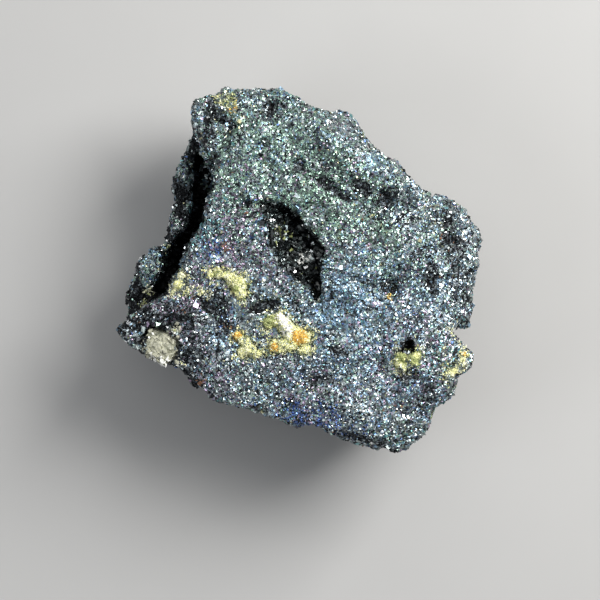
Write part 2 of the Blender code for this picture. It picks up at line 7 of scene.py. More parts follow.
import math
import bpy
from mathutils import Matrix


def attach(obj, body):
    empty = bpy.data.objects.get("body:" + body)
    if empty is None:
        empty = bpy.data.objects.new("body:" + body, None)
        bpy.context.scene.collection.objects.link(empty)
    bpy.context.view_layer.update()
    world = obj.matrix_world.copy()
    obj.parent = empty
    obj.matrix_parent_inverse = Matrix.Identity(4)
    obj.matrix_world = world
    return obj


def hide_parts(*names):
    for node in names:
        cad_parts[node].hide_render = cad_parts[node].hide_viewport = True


bl_info = {
    "name": "Galena hand specimen",
    "version": (1, 0, 0),
    "blender": (4, 5, 0),
    "location": "3D View > Sidebar > Specimen",
    "description": "Grains, tarnish, hollow, crusts and quartz of a broken lump of galena",
    "category": "Object",
}

import bmesh
import bpy
import numpy as np
from mathutils import Vector, noise
from mathutils.kdtree import KDTree

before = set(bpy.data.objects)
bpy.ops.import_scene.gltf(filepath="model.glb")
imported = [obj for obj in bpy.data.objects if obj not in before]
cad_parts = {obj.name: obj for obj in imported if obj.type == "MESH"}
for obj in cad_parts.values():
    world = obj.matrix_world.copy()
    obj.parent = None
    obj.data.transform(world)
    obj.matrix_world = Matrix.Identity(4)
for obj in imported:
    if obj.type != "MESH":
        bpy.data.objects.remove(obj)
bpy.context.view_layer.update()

MM = 0.001

# Heights over the floor in millimetres: the face lies over the first, and the second is the hollow's rim
FACE_LEVEL = 24.0
HOLLOW_RIM = 32.6

# Flat cleavage faces with few grains: place, radius, share of grains left
SMOOTH_SPOTS = [
    ((-17.4, 24.6), 2.2, 0.9), ((-10.4, -7.2), 3.4, 0.5), ((8.4, 28.8), 3.2, 0.65),
    ((9.6, -11.8), 3.4, 0.6), ((14.6, 21.2), 1.8, 0.5), ((26.8, -2.2), 2.6, 0.55),
    ((-1.0, -24.5), 2.4, 0.7), ((22.0, 9.4), 2.0, 0.7), ((4.4, -21.6), 1.8, 0.6), ((-19.6, 28.4), 1.8, 0.6),
]

# Broken rubble, coarser and darker than the rest: place, radius
RUBBLE_SPOTS = [
    ((-14.6, 28.2), 3.6), ((-6.4, -7.4), 2.8), ((-17.4, -6.8), 3.4), ((-30.0, -10.4), 5.2),
    ((-5.2, 31.6), 1.8), ((18.2, -3.6), 2.2), ((17.6, 13.4), 2.4), ((31.0, 6.6), 3.6),
    ((-22.0, -21.0), 4.4), ((0.2, 21.0), 1.4), ((-20.6, 22.0), 2.4), ((25.4, 17.2), 2.2),
    ((22.0, -21.5), 3.2),
]

# Tarnish of the face, and in the bright list painted glints: place, radius, share of the grains that take it
TARNISH_SPOTS = {
    "sage": [((-6.0, 20.0), 17.0, 0.59), ((10.0, 14.0), 12.0, 0.5), ((22.0, 4.0), 9.0, 0.31)],
    "blue_steel": [
        ((10.0, -6.0), 11.0, 0.42), ((24.0, -3.0), 6.0, 0.35), ((14.6, 21.2), 2.4, 0.84),
        ((-3.8, 21.2), 1.8, 0.84), ((8.4, -7.6), 4.6, 0.85),
    ],
    "violet": [
        ((-12.0, 7.0), 8.0, 0.28), ((-16.0, 0.0), 6.0, 0.17), ((-26.0, -9.0), 7.0, 0.48),
        ((-19.0, -24.0), 8.0, 0.22), ((22.0, -18.0), 12.0, 0.14), ((2.0, -26.0), 8.0, 0.14),
        ((-4.0, 0.0), 4.0, 0.22),
    ],
    "teal": [
        ((28.0, -16.0), 6.0, 0.25), ((-18.6, 7.2), 3.4, 0.35), ((10.0, -9.0), 6.0, 0.11),
        ((-15.4, 8.8), 1.8, 0.56),
    ],
    "deep_blue": [
        ((-0.8, -28.4), 3.6, 0.5), ((5.4, -29.8), 4.2, 0.4), ((12.0, -33.0), 3.0, 0.22),
        ((-16.4, 4.6), 2.4, 0.34), ((-15.0, -9.4), 2.6, 0.22), ((-11.6, -13.6), 2.0, 0.2),
    ],
    "straw": [
        ((14.0, 10.0), 5.0, 0.07), ((26.0, 10.0), 5.0, 0.08), ((22.0, -16.0), 4.5, 0.14),
        ((-14.0, 30.0), 3.2, 0.26), ((30.5, -18.0), 4.0, 0.2), ((-5.0, -10.0), 5.0, 0.1),
    ],
    # Painted highlights: bright grains where ridges and cleavage faces catch the light
    "bright": [
        ((23.5, 16.6), 1.7, 0.9), ((31.8, 6.6), 1.4, 0.83), ((-14.2, 27.4), 1.1, 0.9),
        ((6.6, 28.4), 2.2, 0.75), ((3.6, 22.6), 2.2, 0.6), ((12.2, 21.4), 2.4, 0.75),
        ((26.4, 11.0), 2.4, 0.68), ((-9.8, 20.8), 1.8, 0.52), ((-26.2, -18.4), 1.8, 0.75),
        ((14.6, 25.0), 2.2, 0.38), ((-21.4, -13.0), 2.4, 0.3), ((17.6, -25.0), 5.0, 0.18),
        ((30.0, -13.2), 2.2, 0.6), ((-6.0, 9.0), 1.8, 0.38), ((-15.0, 18.4), 2.2, 0.45),
        ((26.4, -16.2), 2.4, 0.38), ((-24.8, -14.2), 2.0, 0.45), ((27.0, -7.6), 2.4, 0.3),
    ],
    "rust": [
        ((-10.2, 11.2), 0.9, 0.5), ((-13.8, 4.6), 1.0, 0.5), ((-14.2, -11.0), 1.2, 0.9),
        ((18.0, -5.2), 0.7, 0.6), ((-4.6, 31.0), 1.2, 0.25), ((17.4, 13.6), 1.5, 0.22),
        ((-24.0, -8.6), 2.6, 0.2), ((-27.0, -11.0), 2.0, 0.2), ((-33.4, -10.2), 2.6, 0.3),
        ((-20.6, -22.6), 2.6, 0.25), ((30.6, 6.0), 3.4, 0.12),
    ],
}
TINTS = ["steel", "bright", "blue_steel", "sage", "violet", "teal", "deep_blue", "straw", "rust", "soot"]

# Tints that the surface between the grains takes too
SKIN_TINTS = ["blue_steel", "sage", "violet", "deep_blue"]

# Share of every tint in the grains away from those spots
PLAIN_SHARES = {
    "bright": 0.22, "blue_steel": 0.24, "sage": 0.12, "violet": 0.03, "teal": 0.03, "deep_blue": 0.012,
    "straw": 0.025, "rust": 0.002, "soot": 0.25,
}

# Tints that come in broad uneven patches: size and seed of the noise, its strength, its threshold, share
TINT_PATCHES = {
    "violet": (4.5, 3.0, 2.2, 0.5, 0.16), "teal": (3.6, 4.0, 2.2, 0.5, 0.14),
    "blue_steel": (6.0, 5.0, 1.8, 0.0, 0.35),
}

# Painted shade of the hollows, grooves and broken places: place, long and short half-width, turn in degrees,
# strength
DARK_SPOTS = [
    ((-17.0, 31.2), 2.6, 1.2, 80, 0.8), ((-15.2, 30.0), 2.6, 0.8, -28, 1.0),
    ((-17.6, 26.6), 3.2, 1.3, 80, 0.6), ((-13.4, 28.6), 1.6, 0.7, -50, 0.8),
    ((-17.2, 20.4), 3.0, 1.0, 70, 0.6), ((-33.0, -10.4), 3.2, 1.6, -25, 0.85),
    ((31.6, 1.0), 1.8, 10.0, 0, 0.5), ((20.6, -16.0), 1.2, 0.7, 30, 0.9), ((33.6, -6.0), 1.2, 8.0, 0, 0.5),
    ((-21.4, 26.0), 2.2, 3.6, 0, 0.95), ((-35.0, -10.0), 2.4, 2.4, 0, 0.9),
    ((-5.6, 31.8), 1.5, 1.6, 0, 1.0), ((0.3, 20.6), 1.5, 1.4, 0, 1.0), ((-4.0, 19.4), 1.6, 0.5, -30, 0.4),
    ((5.8, 16.8), 2.6, 1.1, -30, 0.95), ((8.6, 14.8), 2.8, 0.8, -24, 0.8),
    ((12.6, 16.4), 2.4, 1.3, -30, 0.95), ((17.3, 14.2), 1.9, 2.0, 0, 0.95),
    ((14.6, 11.4), 2.4, 0.7, -20, 0.4), ((27.2, 15.2), 4.6, 1.2, -32, 0.6),
    ((30.0, 8.2), 1.6, 5.2, 6, 0.75), ((18.4, -3.2), 1.9, 1.3, 0, 0.9), ((26.4, -1.8), 1.3, 3.0, 0, 0.85),
    ((24.8, 3.6), 2.2, 1.2, 0, 0.4), ((-6.4, -7.2), 3.2, 1.2, 8, 0.9), ((-15.8, -7.0), 2.8, 2.4, 0, 0.8),
    ((-14.8, -10.4), 2.0, 1.4, 0, 0.5), ((-29.8, -9.8), 3.6, 2.4, -40, 0.75),
    ((-24.4, -9.4), 4.4, 2.8, -20, 0.55), ((-22.0, -21.0), 4.6, 1.6, -35, 0.7),
    ((-21.0, -17.4), 3.2, 2.0, -30, 0.45), ((3.8, -21.6), 2.4, 0.8, 10, 0.75),
    ((7.7, -15.8), 1.7, 1.0, -20, 0.8), ((13.0, -33.8), 5.2, 1.2, -14, 0.9),
    ((21.8, -20.6), 1.8, 1.2, 0, 0.75), ((25.4, -25.0), 1.4, 3.2, -20, 0.5),
    ((6.4, -3.8), 0.9, 2.6, 0, 0.3), ((-10.6, 13.0), 2.6, 0.8, 0, 0.4), ((-3.0, 1.2), 3.0, 0.8, -50, 0.6),
    ((-12.8, 25.0), 2.6, 0.8, 50, 0.3), ((21.2, 10.6), 2.4, 2.2, 0, 0.45),
    ((-8.4, -19.6), 3.2, 0.8, -20, 0.35), ((5.6, 20.4), 2.4, 0.7, -35, 0.35),
    ((-17.4, 12.4), 1.0, 3.6, 10, 0.35), ((-9.6, -4.6), 2.4, 0.8, -30, 0.4),
    ((-1.0, -5.6), 1.2, 2.4, 20, 0.35), ((-4.6, -16.8), 3.4, 1.1, 0, 0.35),
    ((-2.0, -25.4), 1.6, 0.6, 0, 0.4), ((20.2, 1.0), 1.2, 1.6, 0, 0.3),
]

# Lit tops of the ledge, which take painted light as bright and greenish grains: place, radius
LEDGE_TOPS = [
    ((-29.0, 1.6), 3.2), ((-29.8, -2.0), 1.8), ((-23.8, 9.4), 1.5), ((-23.2, 19.8), 1.5),
    ((-26.0, 4.6), 1.2),
]

# Painted glints: bright grains, with less painted shade, on the broken walls of the crevice: place, radius
CREVICE_GLINTS = [
    ((-17.8, 18.0), 1.3), ((-19.2, 18.6), 1.1), ((-20.6, 19.6), 1.0), ((-18.8, 21.2), 0.9),
    ((-19.8, 26.6), 0.8), ((-21.8, 18.0), 1.2), ((-22.4, 21.6), 1.3), ((-19.4, 24.0), 0.7),
    ((-21.6, 13.0), 0.9), ((-22.6, 8.8), 1.1),
]

# The lower left of the face, where dark and bright grains are mixed, and the small deep pit, which gets
# painted shade: place, radius
STARK = ((-24.0, -14.0), 14.0)
PIT = ((21.8, -14.9), 2.3)

# The crevice between the face and the lower ledge, the hollow's middle line and its rim, from above
CREVICE_LINE = [
    (-19.8, 27.0), (-19.0, 22.0), (-19.4, 17.0), (-20.4, 10.0), (-23.2, 5.6), (-25.4, 0.0), (-28.6, -5.0),
    (-33.4, -9.6),
]
HOLLOW_LINE = [
    (-7.4, 13.4), (-3.6, 9.6), (-1.0, 5.6), (2.0, 2.0), (3.4, -2.0), (3.6, -6.0),
]
RIM_LINE = [
    (-9.0, 14.2), (-6.6, 14.4), (-4.8, 14.2), (-1.6, 12.4), (0.8, 10.2), (3.0, 7.6), (5.6, 4.8), (5.0, 2.6),
    (4.9, -0.2), (4.6, -5.4), (3.6, -6.6), (2.6, -5.6), (2.3, -3.3), (0.8, -2.8), (-0.8, -1.2), (-3.2, 0.2),
    (-5.7, 3.4), (-7.0, 6.2), (-6.8, 9.6), (-8.4, 12.2), (-9.0, 14.2),
]

# Places in the hollow: its clear crystals, with painted light round them, its bright upper end, and a spot of
# green film
HOLLOW_CLEAR = (0.8, 2.2)
HOLLOW_TOP = (-4.5, 10.5)
HOLLOW_FILM = (-2.7, 6.0)

# The quartz grain, its lower edge with small white crystals, and its spur
QUARTZ_MIDDLE = (-27.2, -14.9)
QUARTZ_EDGE = [(-28.6, -18.0), (-26.8, -18.9), (-24.6, -18.4)]
QUARTZ_SPUR = [(-25.4, -13.2), (-24.1, -11.5)]
QUARTZ_IOR = 1.54

# The mineral crusts: lumps as place and radius, and the spots of other colours in them
CRUSTS = {
    "yellow_crust_upper": {
        "base": "lemon",
        "lumps": [
            ((-17.2, -0.6), 1.0), ((-15.6, -0.5), 1.2), ((-13.8, -1.0), 1.2), ((-12.4, -1.9), 1.5),
            ((-11.6, -3.3), 1.6), ((-11.0, -4.6), 1.3), ((-11.0, -1.9), 1.3), ((-12.9, -3.2), 1.1),
            ((-16.8, -1.6), 0.8),
        ],
        "spots": [
            ("olive", (-12.2, -3.6), 0.8), ("olive", (-16.4, -0.6), 0.7), ("cream", (-13.4, -1.2), 0.7),
        ],
    },
    "yellow_crust_lower": {
        "base": "lemon",
        "lumps": [
            ((-5.0, -9.6), 1.3), ((-3.4, -9.4), 1.4), ((-2.4, -11.0), 1.7), ((-0.8, -12.2), 1.8),
            ((1.0, -13.2), 1.9), ((-1.4, -14.2), 1.7), ((-3.2, -14.6), 1.4), ((-4.8, -14.9), 1.3),
            ((1.2, -15.4), 1.3), ((-6.0, -10.6), 1.1),
        ],
        "spots": [
            ("white", (-2.8, -9.4), 1.4), ("white", (-2.0, -11.6), 1.3), ("cream", (-1.4, -13.0), 0.8),
            ("ochre", (0.3, -13.0), 1.6), ("ochre", (-4.5, -15.0), 0.9), ("olive", (-5.6, -9.8), 1.5),
        ],
    },
    "yellow_crust_small": {
        "base": "lemon",
        "lumps": [
            ((-11.8, -12.9), 1.1), ((-10.4, -14.0), 1.3), ((-9.4, -15.4), 1.4), ((-11.0, -16.0), 1.2),
            ((-8.0, -16.4), 1.0),
        ],
        "spots": [("ochre", (-12.0, -12.8), 0.9), ("cream", (-10.2, -15.6), 0.8)],
    },
    "pit_crust": {
        "base": "olive",
        "lumps": [
            ((20.4, -16.9), 1.2), ((22.6, -17.5), 1.3), ((21.0, -19.0), 1.2), ((19.8, -18.4), 1.0),
            ((23.6, -16.4), 0.9),
        ],
        "spots": [
            ("rock", (22.2, -18.8), 1.1), ("cream", (20.0, -18.4), 0.7), ("olive", (20.6, -17.0), 1.2),
            ("rock", (20.2, -19.6), 0.8), ("olive", (22.8, -17.4), 1.2), ("rock", (21.6, -17.4), 0.6),
            ("lemon", (23.4, -16.4), 0.5),
        ],
    },
    "edge_crust": {
        "base": "cream",
        "lumps": [((32.0, -18.2), 1.1), ((31.0, -19.4), 1.2), ((29.6, -20.5), 1.1), ((32.2, -16.7), 0.9)],
        "spots": [
            ("lemon", (30.6, -19.8), 0.8), ("ochre", (32.9, -16.6), 0.5), ("rock", (31.6, -17.8), 0.8),
            ("rock", (30.4, -18.8), 0.7), ("rock", (32.0, -19.2), 0.8), ("rock", (29.6, -20.8), 0.6),
            ("rock", (31.4, -20.6), 0.6), ("rock", (30.8, -17.4), 0.6),
        ],
    },
    "crevice_crust": {
        "base": "cream",
        "lumps": [((-22.8, -1.0), 1.0), ((-23.6, -2.5), 1.1), ((-22.6, -3.2), 1.0), ((-24.6, -4.2), 0.9)],
        "spots": [
            ("lemon", (-23.8, -2.8), 0.8), ("rock", (-22.4, -2.0), 0.7), ("rock", (-22.2, -3.6), 0.6),
        ],
    },
}
CRUST_TINTS = ["lemon", "cream", "white", "olive", "ochre"]

# Small specks of the crust's mineral on the rock: place, radius, tint
SPECKS = [
    ((-13.6, 33.6), 1.5, "olive"), ((-12.6, 32.0), 1.0, "ochre"), ((-15.6, 33.8), 1.0, "lemon"),
    ((-25.8, 4.6), 0.9, "olive"), ((-29.6, -3.8), 1.2, "cream"), ((-31.0, -6.4), 0.9, "olive"),
    ((30.0, -11.4), 1.0, "cream"), ((32.4, -14.4), 0.9, "cream"), ((33.4, -16.4), 0.8, "lemon"),
    ((32.6, -20.4), 0.9, "ochre"), ((30.2, -22.6), 0.8, "lemon"), ((31.0, -13.0), 0.7, "lemon"),
    ((-19.2, -3.8), 1.0, "cream"), ((-17.6, -4.6), 1.0, "cream"), ((18.0, -5.2), 0.7, "ochre"),
    ((-22.0, -4.4), 0.9, "olive"), ((19.4, -20.0), 0.8, "cream"), ((-12.8, -17.4), 0.6, "lemon"),
    ((3.2, -12.2), 0.9, "lemon"), ((2.6, -16.2), 0.8, "cream"), ((-6.8, -12.2), 0.7, "olive"),
    ((-7.2, -16.0), 0.7, "lemon"), ((14.6, 10.8), 0.5, "cream"), ((-24.4, -12.0), 0.8, "cream"),
    ((-22.6, -18.8), 0.9, "white"),
]

# What a scattering asks for, with its usual values in metres
SCATTER = {
    "Spacing": 0.0005, "Smallest": 0.0003, "Largest": 0.0006, "Sunk": 0.2, "Tilt": 0.5, "Wear": 0.0001,
    "Clump": 0.0015, "Seed": 1, "Parts": 1, "Part": 0,
}

# How grains lie: how far they lean alone and with their neighbours, how much more common small
# ones are than large, how closely the first points are tried, and the scale of the corners' wear
OWN_LEAN = 0.75
SHARED_LEAN = 2.5
SMALL_BIAS = 1.7
CROWDING = 1.5
WEAR_SCALE = 3300.0

# Size of the cells that the crusts and the quartz are rebuilt with
FINE_VOXEL = 0.2 * MM


# Settings

def amount(name, description, default, **more):
    return bpy.props.FloatProperty(name=name, description=description, min=0.0, default=default, **more)


def length(name, description, default):
    return amount(name, description, default, subtype="DISTANCE", unit="LENGTH", precision=5)


def colour(name, description, default):
    return bpy.props.FloatVectorProperty(
        name=name, description=description, subtype="COLOR", size=3, min=0.0, max=1.0, default=default
    )


class SkinSettings(bpy.types.PropertyGroup):
    """The rock's own surface, between and under its grains"""

    voxel: length("Voxel", "Size of the cells that the surface is rebuilt with", 0.46 * MM)
    relief: length("Relief", "Height of the small broken blocks", 0.16 * MM)
    side_relief: length("Side relief", "Height of the large broken blocks of the sides", 0.8 * MM)
    sink: length("Sink", "How far the dark broken hollows are sunk", 0.5 * MM)
    inset: length("Inset", "How far the surface lies under the grains' tips", 0.14 * MM)
    facet: length("Facet", "How far single facets stand in or out", 0.045 * MM)
    rubble: length("Rubble", "Height of the blocks in the broken hollows", 0.5 * MM)
    light: colour("Light", "Colour of the fresh surface", (0.40, 0.46, 0.48))
    dark: colour("Dark", "Colour of the tarnished surface", (0.10, 0.12, 0.14))
    shade: colour("Shade", "Colour of the surface in deep shade", (0.012, 0.012, 0.013))


class GrainSettings(bpy.types.PropertyGroup):
    """The galena grains of the broken surface"""

    face_spacing: length("Face spacing", "Least distance between grains on the face", 0.21 * MM)
    side_spacing: length("Side spacing", "Least distance between grains on the sides and back", 0.45 * MM)
    smallest: length("Smallest", "Edge of the smallest grains", 0.20 * MM)
    largest: length("Largest", "Edge of the largest grains", 0.46 * MM)
    wear: length("Wear", "How far the grains' corners are off the plain cube", 0.035 * MM)
    clump: length("Clump", "Size of the patches whose grains lean the same way", 1.5 * MM)
    coarse_spacing: length("Coarse spacing", "Least distance between the coarse grains", 1.5 * MM)
    coarse_largest: length("Coarse largest", "Edge of the largest coarse grains", 0.95 * MM)
    sunk: amount("Sunk", "Share of its size that a grain sits in the surface", 0.30, max=1.0)
    tilt: amount("Tilt", "How far grains lean from the surface", math.radians(48), subtype="ANGLE")
    seed: bpy.props.IntProperty(name="Seed", description="Seed of the grains", default=7)


class TarnishSettings(bpy.types.PropertyGroup):
    """Colours of the grains"""

    steel: colour("Steel", "Plain lead grey", (0.43, 0.50, 0.50))
    # Also painted glints and painted light, where the spots, the ledge's tops, the crevice and the hollow ask
    # for bright grains
    bright: colour("Bright", "Fresh cleavage faces", (0.86, 0.88, 0.88))
    blue_steel: colour("Blue steel", "Bluish grey", (0.30, 0.44, 0.57))
    sage: colour("Sage", "Greenish grey", (0.345, 0.49, 0.41))
    violet: colour("Violet", "Purple tarnish", (0.42, 0.33, 0.45))
    teal: colour("Teal", "Blue-green tarnish", (0.22, 0.46, 0.48))
    deep_blue: colour("Deep blue", "Dark blue tarnish", (0.12, 0.20, 0.46))
    straw: colour("Straw", "Yellowish tarnish", (0.58, 0.57, 0.36))
    rust: colour("Rust", "Brown iron stain", (0.20, 0.10, 0.055))
    # Dark grains: a random dark tone, and painted shade where the crevice, hollow, pit, ledge and dark spots
    # call for more of them
    soot: colour("Dark_and_shade", "Dark grains", (0.045, 0.05, 0.055))


class CrustSettings(bpy.types.PropertyGroup):
    """The yellow and white mineral crusts"""

    spacing: length("Spacing", "Least distance between the crust's blades", 0.17 * MM)
    blade: length("Blade", "Length of the longest blades", 0.62 * MM)
    fringe: length("Fringe", "How far the crust's lacy edge reaches", 1.0 * MM)
    lemon: colour("Lemon", "Yellow-green crust", (0.84, 0.84, 0.42))
    cream: colour("Cream", "Pale crust", (0.90, 0.90, 0.66))
    white: colour("White", "White core", (0.96, 0.96, 0.93))
    olive: colour("Olive", "Green-yellow crust", (0.40, 0.45, 0.19))
    ochre: colour("Ochre", "Orange crust", (0.80, 0.50, 0.10))


class HollowSettings(bpy.types.PropertyGroup):
    """The crystals in the central hollow"""

    bevel: length("Edge wear", "Width of the crystals' worn edges", 0.10 * MM)
    spacing: length("Spacing", "Least distance between the small crystals", 0.34 * MM)
    largest: length("Largest", "Edge of the largest small crystals", 0.8 * MM)
    rim_spacing: length("Rim spacing", "Least distance between the crystals of the rim", 0.7 * MM)
    rim_largest: length("Rim largest", "Edge of the largest crystals of the rim", 1.2 * MM)
    # Painted shade: the hollow's crystals are near-black and black
    dark: colour("Dark", "Near-black crystals with a greenish film", (0.075, 0.085, 0.085))
    soot: colour("Dark_and_shade", "Small black crystals", (0.03, 0.033, 0.036))
    pale: colour("Pale", "Clear and white crystals", (0.93, 0.94, 0.90))


class QuartzSettings(bpy.types.PropertyGroup):
    """The quartz grain in the lower left edge"""

    ripple: length("Ripple", "Depth of the shell-like ripples on its faces", 0.10 * MM)
    spacing: length("Spacing", "Least distance between its chips", 0.34 * MM)
    smallest: length("Smallest", "Edge of its smallest chips", 0.25 * MM)
    largest: length("Largest", "Edge of its largest chips", 0.7 * MM)
    seam_spacing: length("Seam spacing", "Least distance between the rock's grains round it", 0.5 * MM)
    seam_largest: length("Seam largest", "Edge of the largest of those grains", 1.15 * MM)
    clear: colour("Clear", "Colour of its clear parts", (0.30, 0.31, 0.225))
    milky: colour("Milky", "Colour of its cloudy parts", (0.44, 0.44, 0.34))


class StageSettings(bpy.types.PropertyGroup):
    """Camera, floor and lights"""

    camera_height: length("Camera height", "Height of the camera over the rock's middle level", 0.95)
    frame_width: length("Frame width", "Width of the picture at the rock's middle level", 0.120)
    lamp_size: length("Lamp size", "Width of the key and the fill light", 0.30)
    key_power: amount("Key", "Power of the key light in watts", 3.9)
    fill_power: amount("Fill", "Power of the fill light in watts", 0.9)
    sun_power: amount("Soft sky", "Strength of the wide overhead light", 0.7)
    floor: colour("Floor", "Colour of the floor", (0.46, 0.46, 0.455))
    sky: colour("Surroundings", "Colour of the room around the rock", (0.07, 0.07, 0.074))
    backdrop: colour("Backdrop", "Colour behind the floor", (0.132, 0.132, 0.132))


# Node trees

class NodeTree:
    """A node tree under construction: makes nodes, sets their inputs and links them in one call."""

    def __init__(self, tree):
        self.tree = tree

    def add(self, kind, settings=None, **inputs):
        node = self.tree.nodes.new(kind)
        for name, value in (settings or {}).items():
            setattr(node, name, value)
        for name, value in inputs.items():
            self.put(node.inputs[self.index_of(node, name)], value)
        return node

    @staticmethod
    def index_of(node, name):
        """The place of an input: its name with spaces as underscores, or i and its number."""
        if name[0] == "i" and name[1:].isdigit():
            return int(name[1:])
        wanted = name.replace("_", " ").lower()
        for place, socket in enumerate(node.inputs):
            if socket.name.lower() == wanted and socket.enabled:
                return place
        raise KeyError(f"{node.bl_idname} has no input {name}")

    def put(self, socket, value):
        if isinstance(value, bpy.types.Node):
            value = value.outputs[0]
        if isinstance(value, bpy.types.NodeSocket):
            self.tree.links.new(value, socket)
        else:
            socket.default_value = value

    def numbered(self, kind, operation, values, **inputs):
        inputs.update({f"i{place}": value for place, value in enumerate(values)})
        return self.add(kind, {"operation": operation}, **inputs).outputs[0]

    def math(self, operation, *values):
        return self.numbered("ShaderNodeMath", operation, values)

    def vector(self, operation, *values, **inputs):
        return self.numbered("ShaderNodeVectorMath", operation, values, **inputs)

    def compare(self, kind, operation, first, second):
        return self.add("FunctionNodeCompare", {"data_type": kind, "operation": operation}, A=first, B=second)

    def noise(self, scale, detail=2.0, roughness=0.5):
        """Noise on Object coordinates; scale in features per metre."""
        place = self.add("ShaderNodeTexCoord").outputs["Object"]
        return self.add("ShaderNodeTexNoise", Vector=place, Scale=scale, Detail=detail, Roughness=roughness)

    def ramp(self, value, stops):
        node = self.add("ShaderNodeValToRGB", Fac=value)
        band = node.color_ramp
        while len(band.elements) < len(stops):
            band.elements.new(0.5)
        for element, (position, shade) in zip(band.elements, stops):
            element.position = position
            element.color = (*shade, 1.0)
        return node.outputs["Color"]


# Materials

def new_material(name, shade=None, **values):
    """A material with a plain base colour, where one is given, and with the shader's given values."""
    material = bpy.data.materials.new(name)
    material.use_nodes = True
    shader = material.node_tree.nodes["Principled BSDF"]
    if shade is not None:
        values["Base_Color"] = (*shade, 1.0)
    for key, value in values.items():
        shader.inputs[key.replace("_", " ")].default_value = value
    return material, NodeTree(material.node_tree), shader


def add_polish(nodes, shader, pattern, low, high, start=0.3, end=0.7):
    """Roughness that goes from low to high with a pattern."""
    nodes.put(shader.inputs["Roughness"], nodes.add(
        "ShaderNodeMapRange", Value=pattern, From_Min=start, From_Max=end, To_Min=low, To_Max=high))


def add_bump(nodes, shader, pattern, strength, distance):
    nodes.put(shader.inputs["Normal"], nodes.add(
        "ShaderNodeBump", Strength=strength, Distance=distance, Height=pattern))


def textured_material(name, shade, patches, polish, grit=None, bump=None, **values):
    """One plain tint with an uneven polish and fine bumps; patches and grit are the patterns' noise."""
    material, nodes, shader = new_material(name, shade, **values)
    add_polish(nodes, shader, nodes.noise(*patches), *polish)
    if bump:
        add_bump(nodes, shader, nodes.noise(*grit), *bump)
    return material


def grain_material(name, shade, roughness, metallic=1.0):
    """One tint of the grains: metal with fine scratches and a patchy polish."""
    return textured_material(name, shade, (2600.0, 1.0), (roughness * 0.65, roughness * 1.35),
                             (9000.0, 2.0), (0.25, 0.03 * MM), Metallic=metallic)


def skin_material(name, shade):
    """The surface between the grains: metal with a gritty, uneven polish."""
    return textured_material(name, shade, (1900.0, 3.0, 0.65), (0.48, 0.28),
                             (5200.0, 3.0, 0.7), (0.5, 0.08 * MM), Metallic=0.9)


def crust_material(name, shade):
    """Powdery crust with fine pores."""
    pores = (2400.0, 3.0, 0.6)
    return textured_material("crust_" + name, shade, pores, (0.9, 0.6), pores, (0.4, 0.06 * MM),
                             Specular_IOR_Level=0.35)


def crystal_material(name, shade, low, high):
    """Small pale crystals: plain colour, polish between two values."""
    return textured_material(name, shade, (1400.0, 2.0), (low, high), IOR=QUARTZ_IOR)


def dark_crystal_material(shade):
    """The hollow's galena crystals: near-black metal with a faint film; the near-black is painted shade of
    the hollow's inside.
    """
    return textured_material("hollow_crystal", shade, (700.0, 3.0), (0.42, 0.2),
                             (4200.0, 2.0), (0.3, 0.05 * MM), Metallic=1.0)


def quartz_material(settings):
    """Cloudy quartz: clear and milky parts, faint cracks."""
    material, nodes, shader = new_material(
        "quartz_grain", IOR=QUARTZ_IOR, Subsurface_Weight=0.35, Subsurface_Radius=(0.0012, 0.0012, 0.0009))
    cloud = nodes.noise(420.0, 4.0, 0.6)
    clear, milky = Vector(settings.clear), Vector(settings.milky)
    stops = [(0.36, clear * 0.4), (0.46, clear * 0.8), (0.57, milky * 0.85), (0.70, milky * 1.2)]
    nodes.put(shader.inputs["Base Color"], nodes.ramp(cloud, stops))
    add_polish(nodes, shader, cloud, 0.3, 0.55, 0.35, 0.7)
    add_bump(nodes, shader, nodes.noise(1500.0, 3.0, 0.6), 0.2, 0.08 * MM)
    return material


def floor_material(settings):
    material, nodes, shader = new_material("floor", Roughness=0.8)
    base = Vector(settings.floor)
    nodes.put(shader.inputs["Base Color"], nodes.ramp(nodes.noise(60.0), [(0.3, base * 0.985), (0.7, base)]))
    return material


# Meshes

def new_object(name, data):
    made = bpy.data.objects.new(name, data)
    bpy.context.scene.collection.objects.link(made)
    return made


def new_mesh(name, shape):
    """A mesh of a bmesh, which is used up."""
    mesh = bpy.data.meshes.new(name)
    shape.to_mesh(mesh)
    shape.free()
    return mesh


def evaluated_mesh(target):
    """What the object's modifiers make of it, as a plain mesh with the modifiers gone."""
    graph = bpy.context.evaluated_depsgraph_get()
    made = bpy.data.meshes.new_from_object(target.evaluated_get(graph))
    spent = target.data
    target.modifiers.clear()
    target.data = made
    if spent.users == 0:
        bpy.data.meshes.remove(spent)
    return made


def node_copy(node, name):
    """A copy of a CAD node with its loose triangles merged."""
    shape = bmesh.new()
    shape.from_mesh(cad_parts[node].data)
    bmesh.ops.remove_doubles(shape, verts=shape.verts, dist=1e-6)
    return new_object(name, new_mesh(name, shape))


def read(items, name, kind=float, width=1):
    """A property of many items, with a row for each where it has several values."""
    values = np.empty(len(items) * width, kind)
    items.foreach_get(name, values)
    return values.reshape(-1, width) if width > 1 else values


def points_of(mesh):
    return read(mesh.vertices, "co", width=3)


def normals_of(mesh):
    return read(mesh.vertex_normals, "vector", np.float32, 3).astype(float)


def set_points(mesh, places):
    mesh.vertices.foreach_set("co", places.astype(np.float32).ravel())
    mesh.update()


def set_attribute(mesh, name, values):
    layer = mesh.attributes.get(name) or mesh.attributes.new(name, "FLOAT", "POINT")
    layer.data.foreach_set("value", values.astype(np.float32))


def set_shares(mesh, shares):
    """Stores each tint's share of the grains, 0 to 1."""
    for tint, values in shares.items():
        set_attribute(mesh, "tint_" + tint, unit(values))


def set_materials(mesh, materials):
    """Gives a mesh its materials; its polygons all go back to the first."""
    mesh.materials.clear()
    for material in materials:
        mesh.materials.append(material)


def unit(values):
    return np.clip(values, 0, 1)


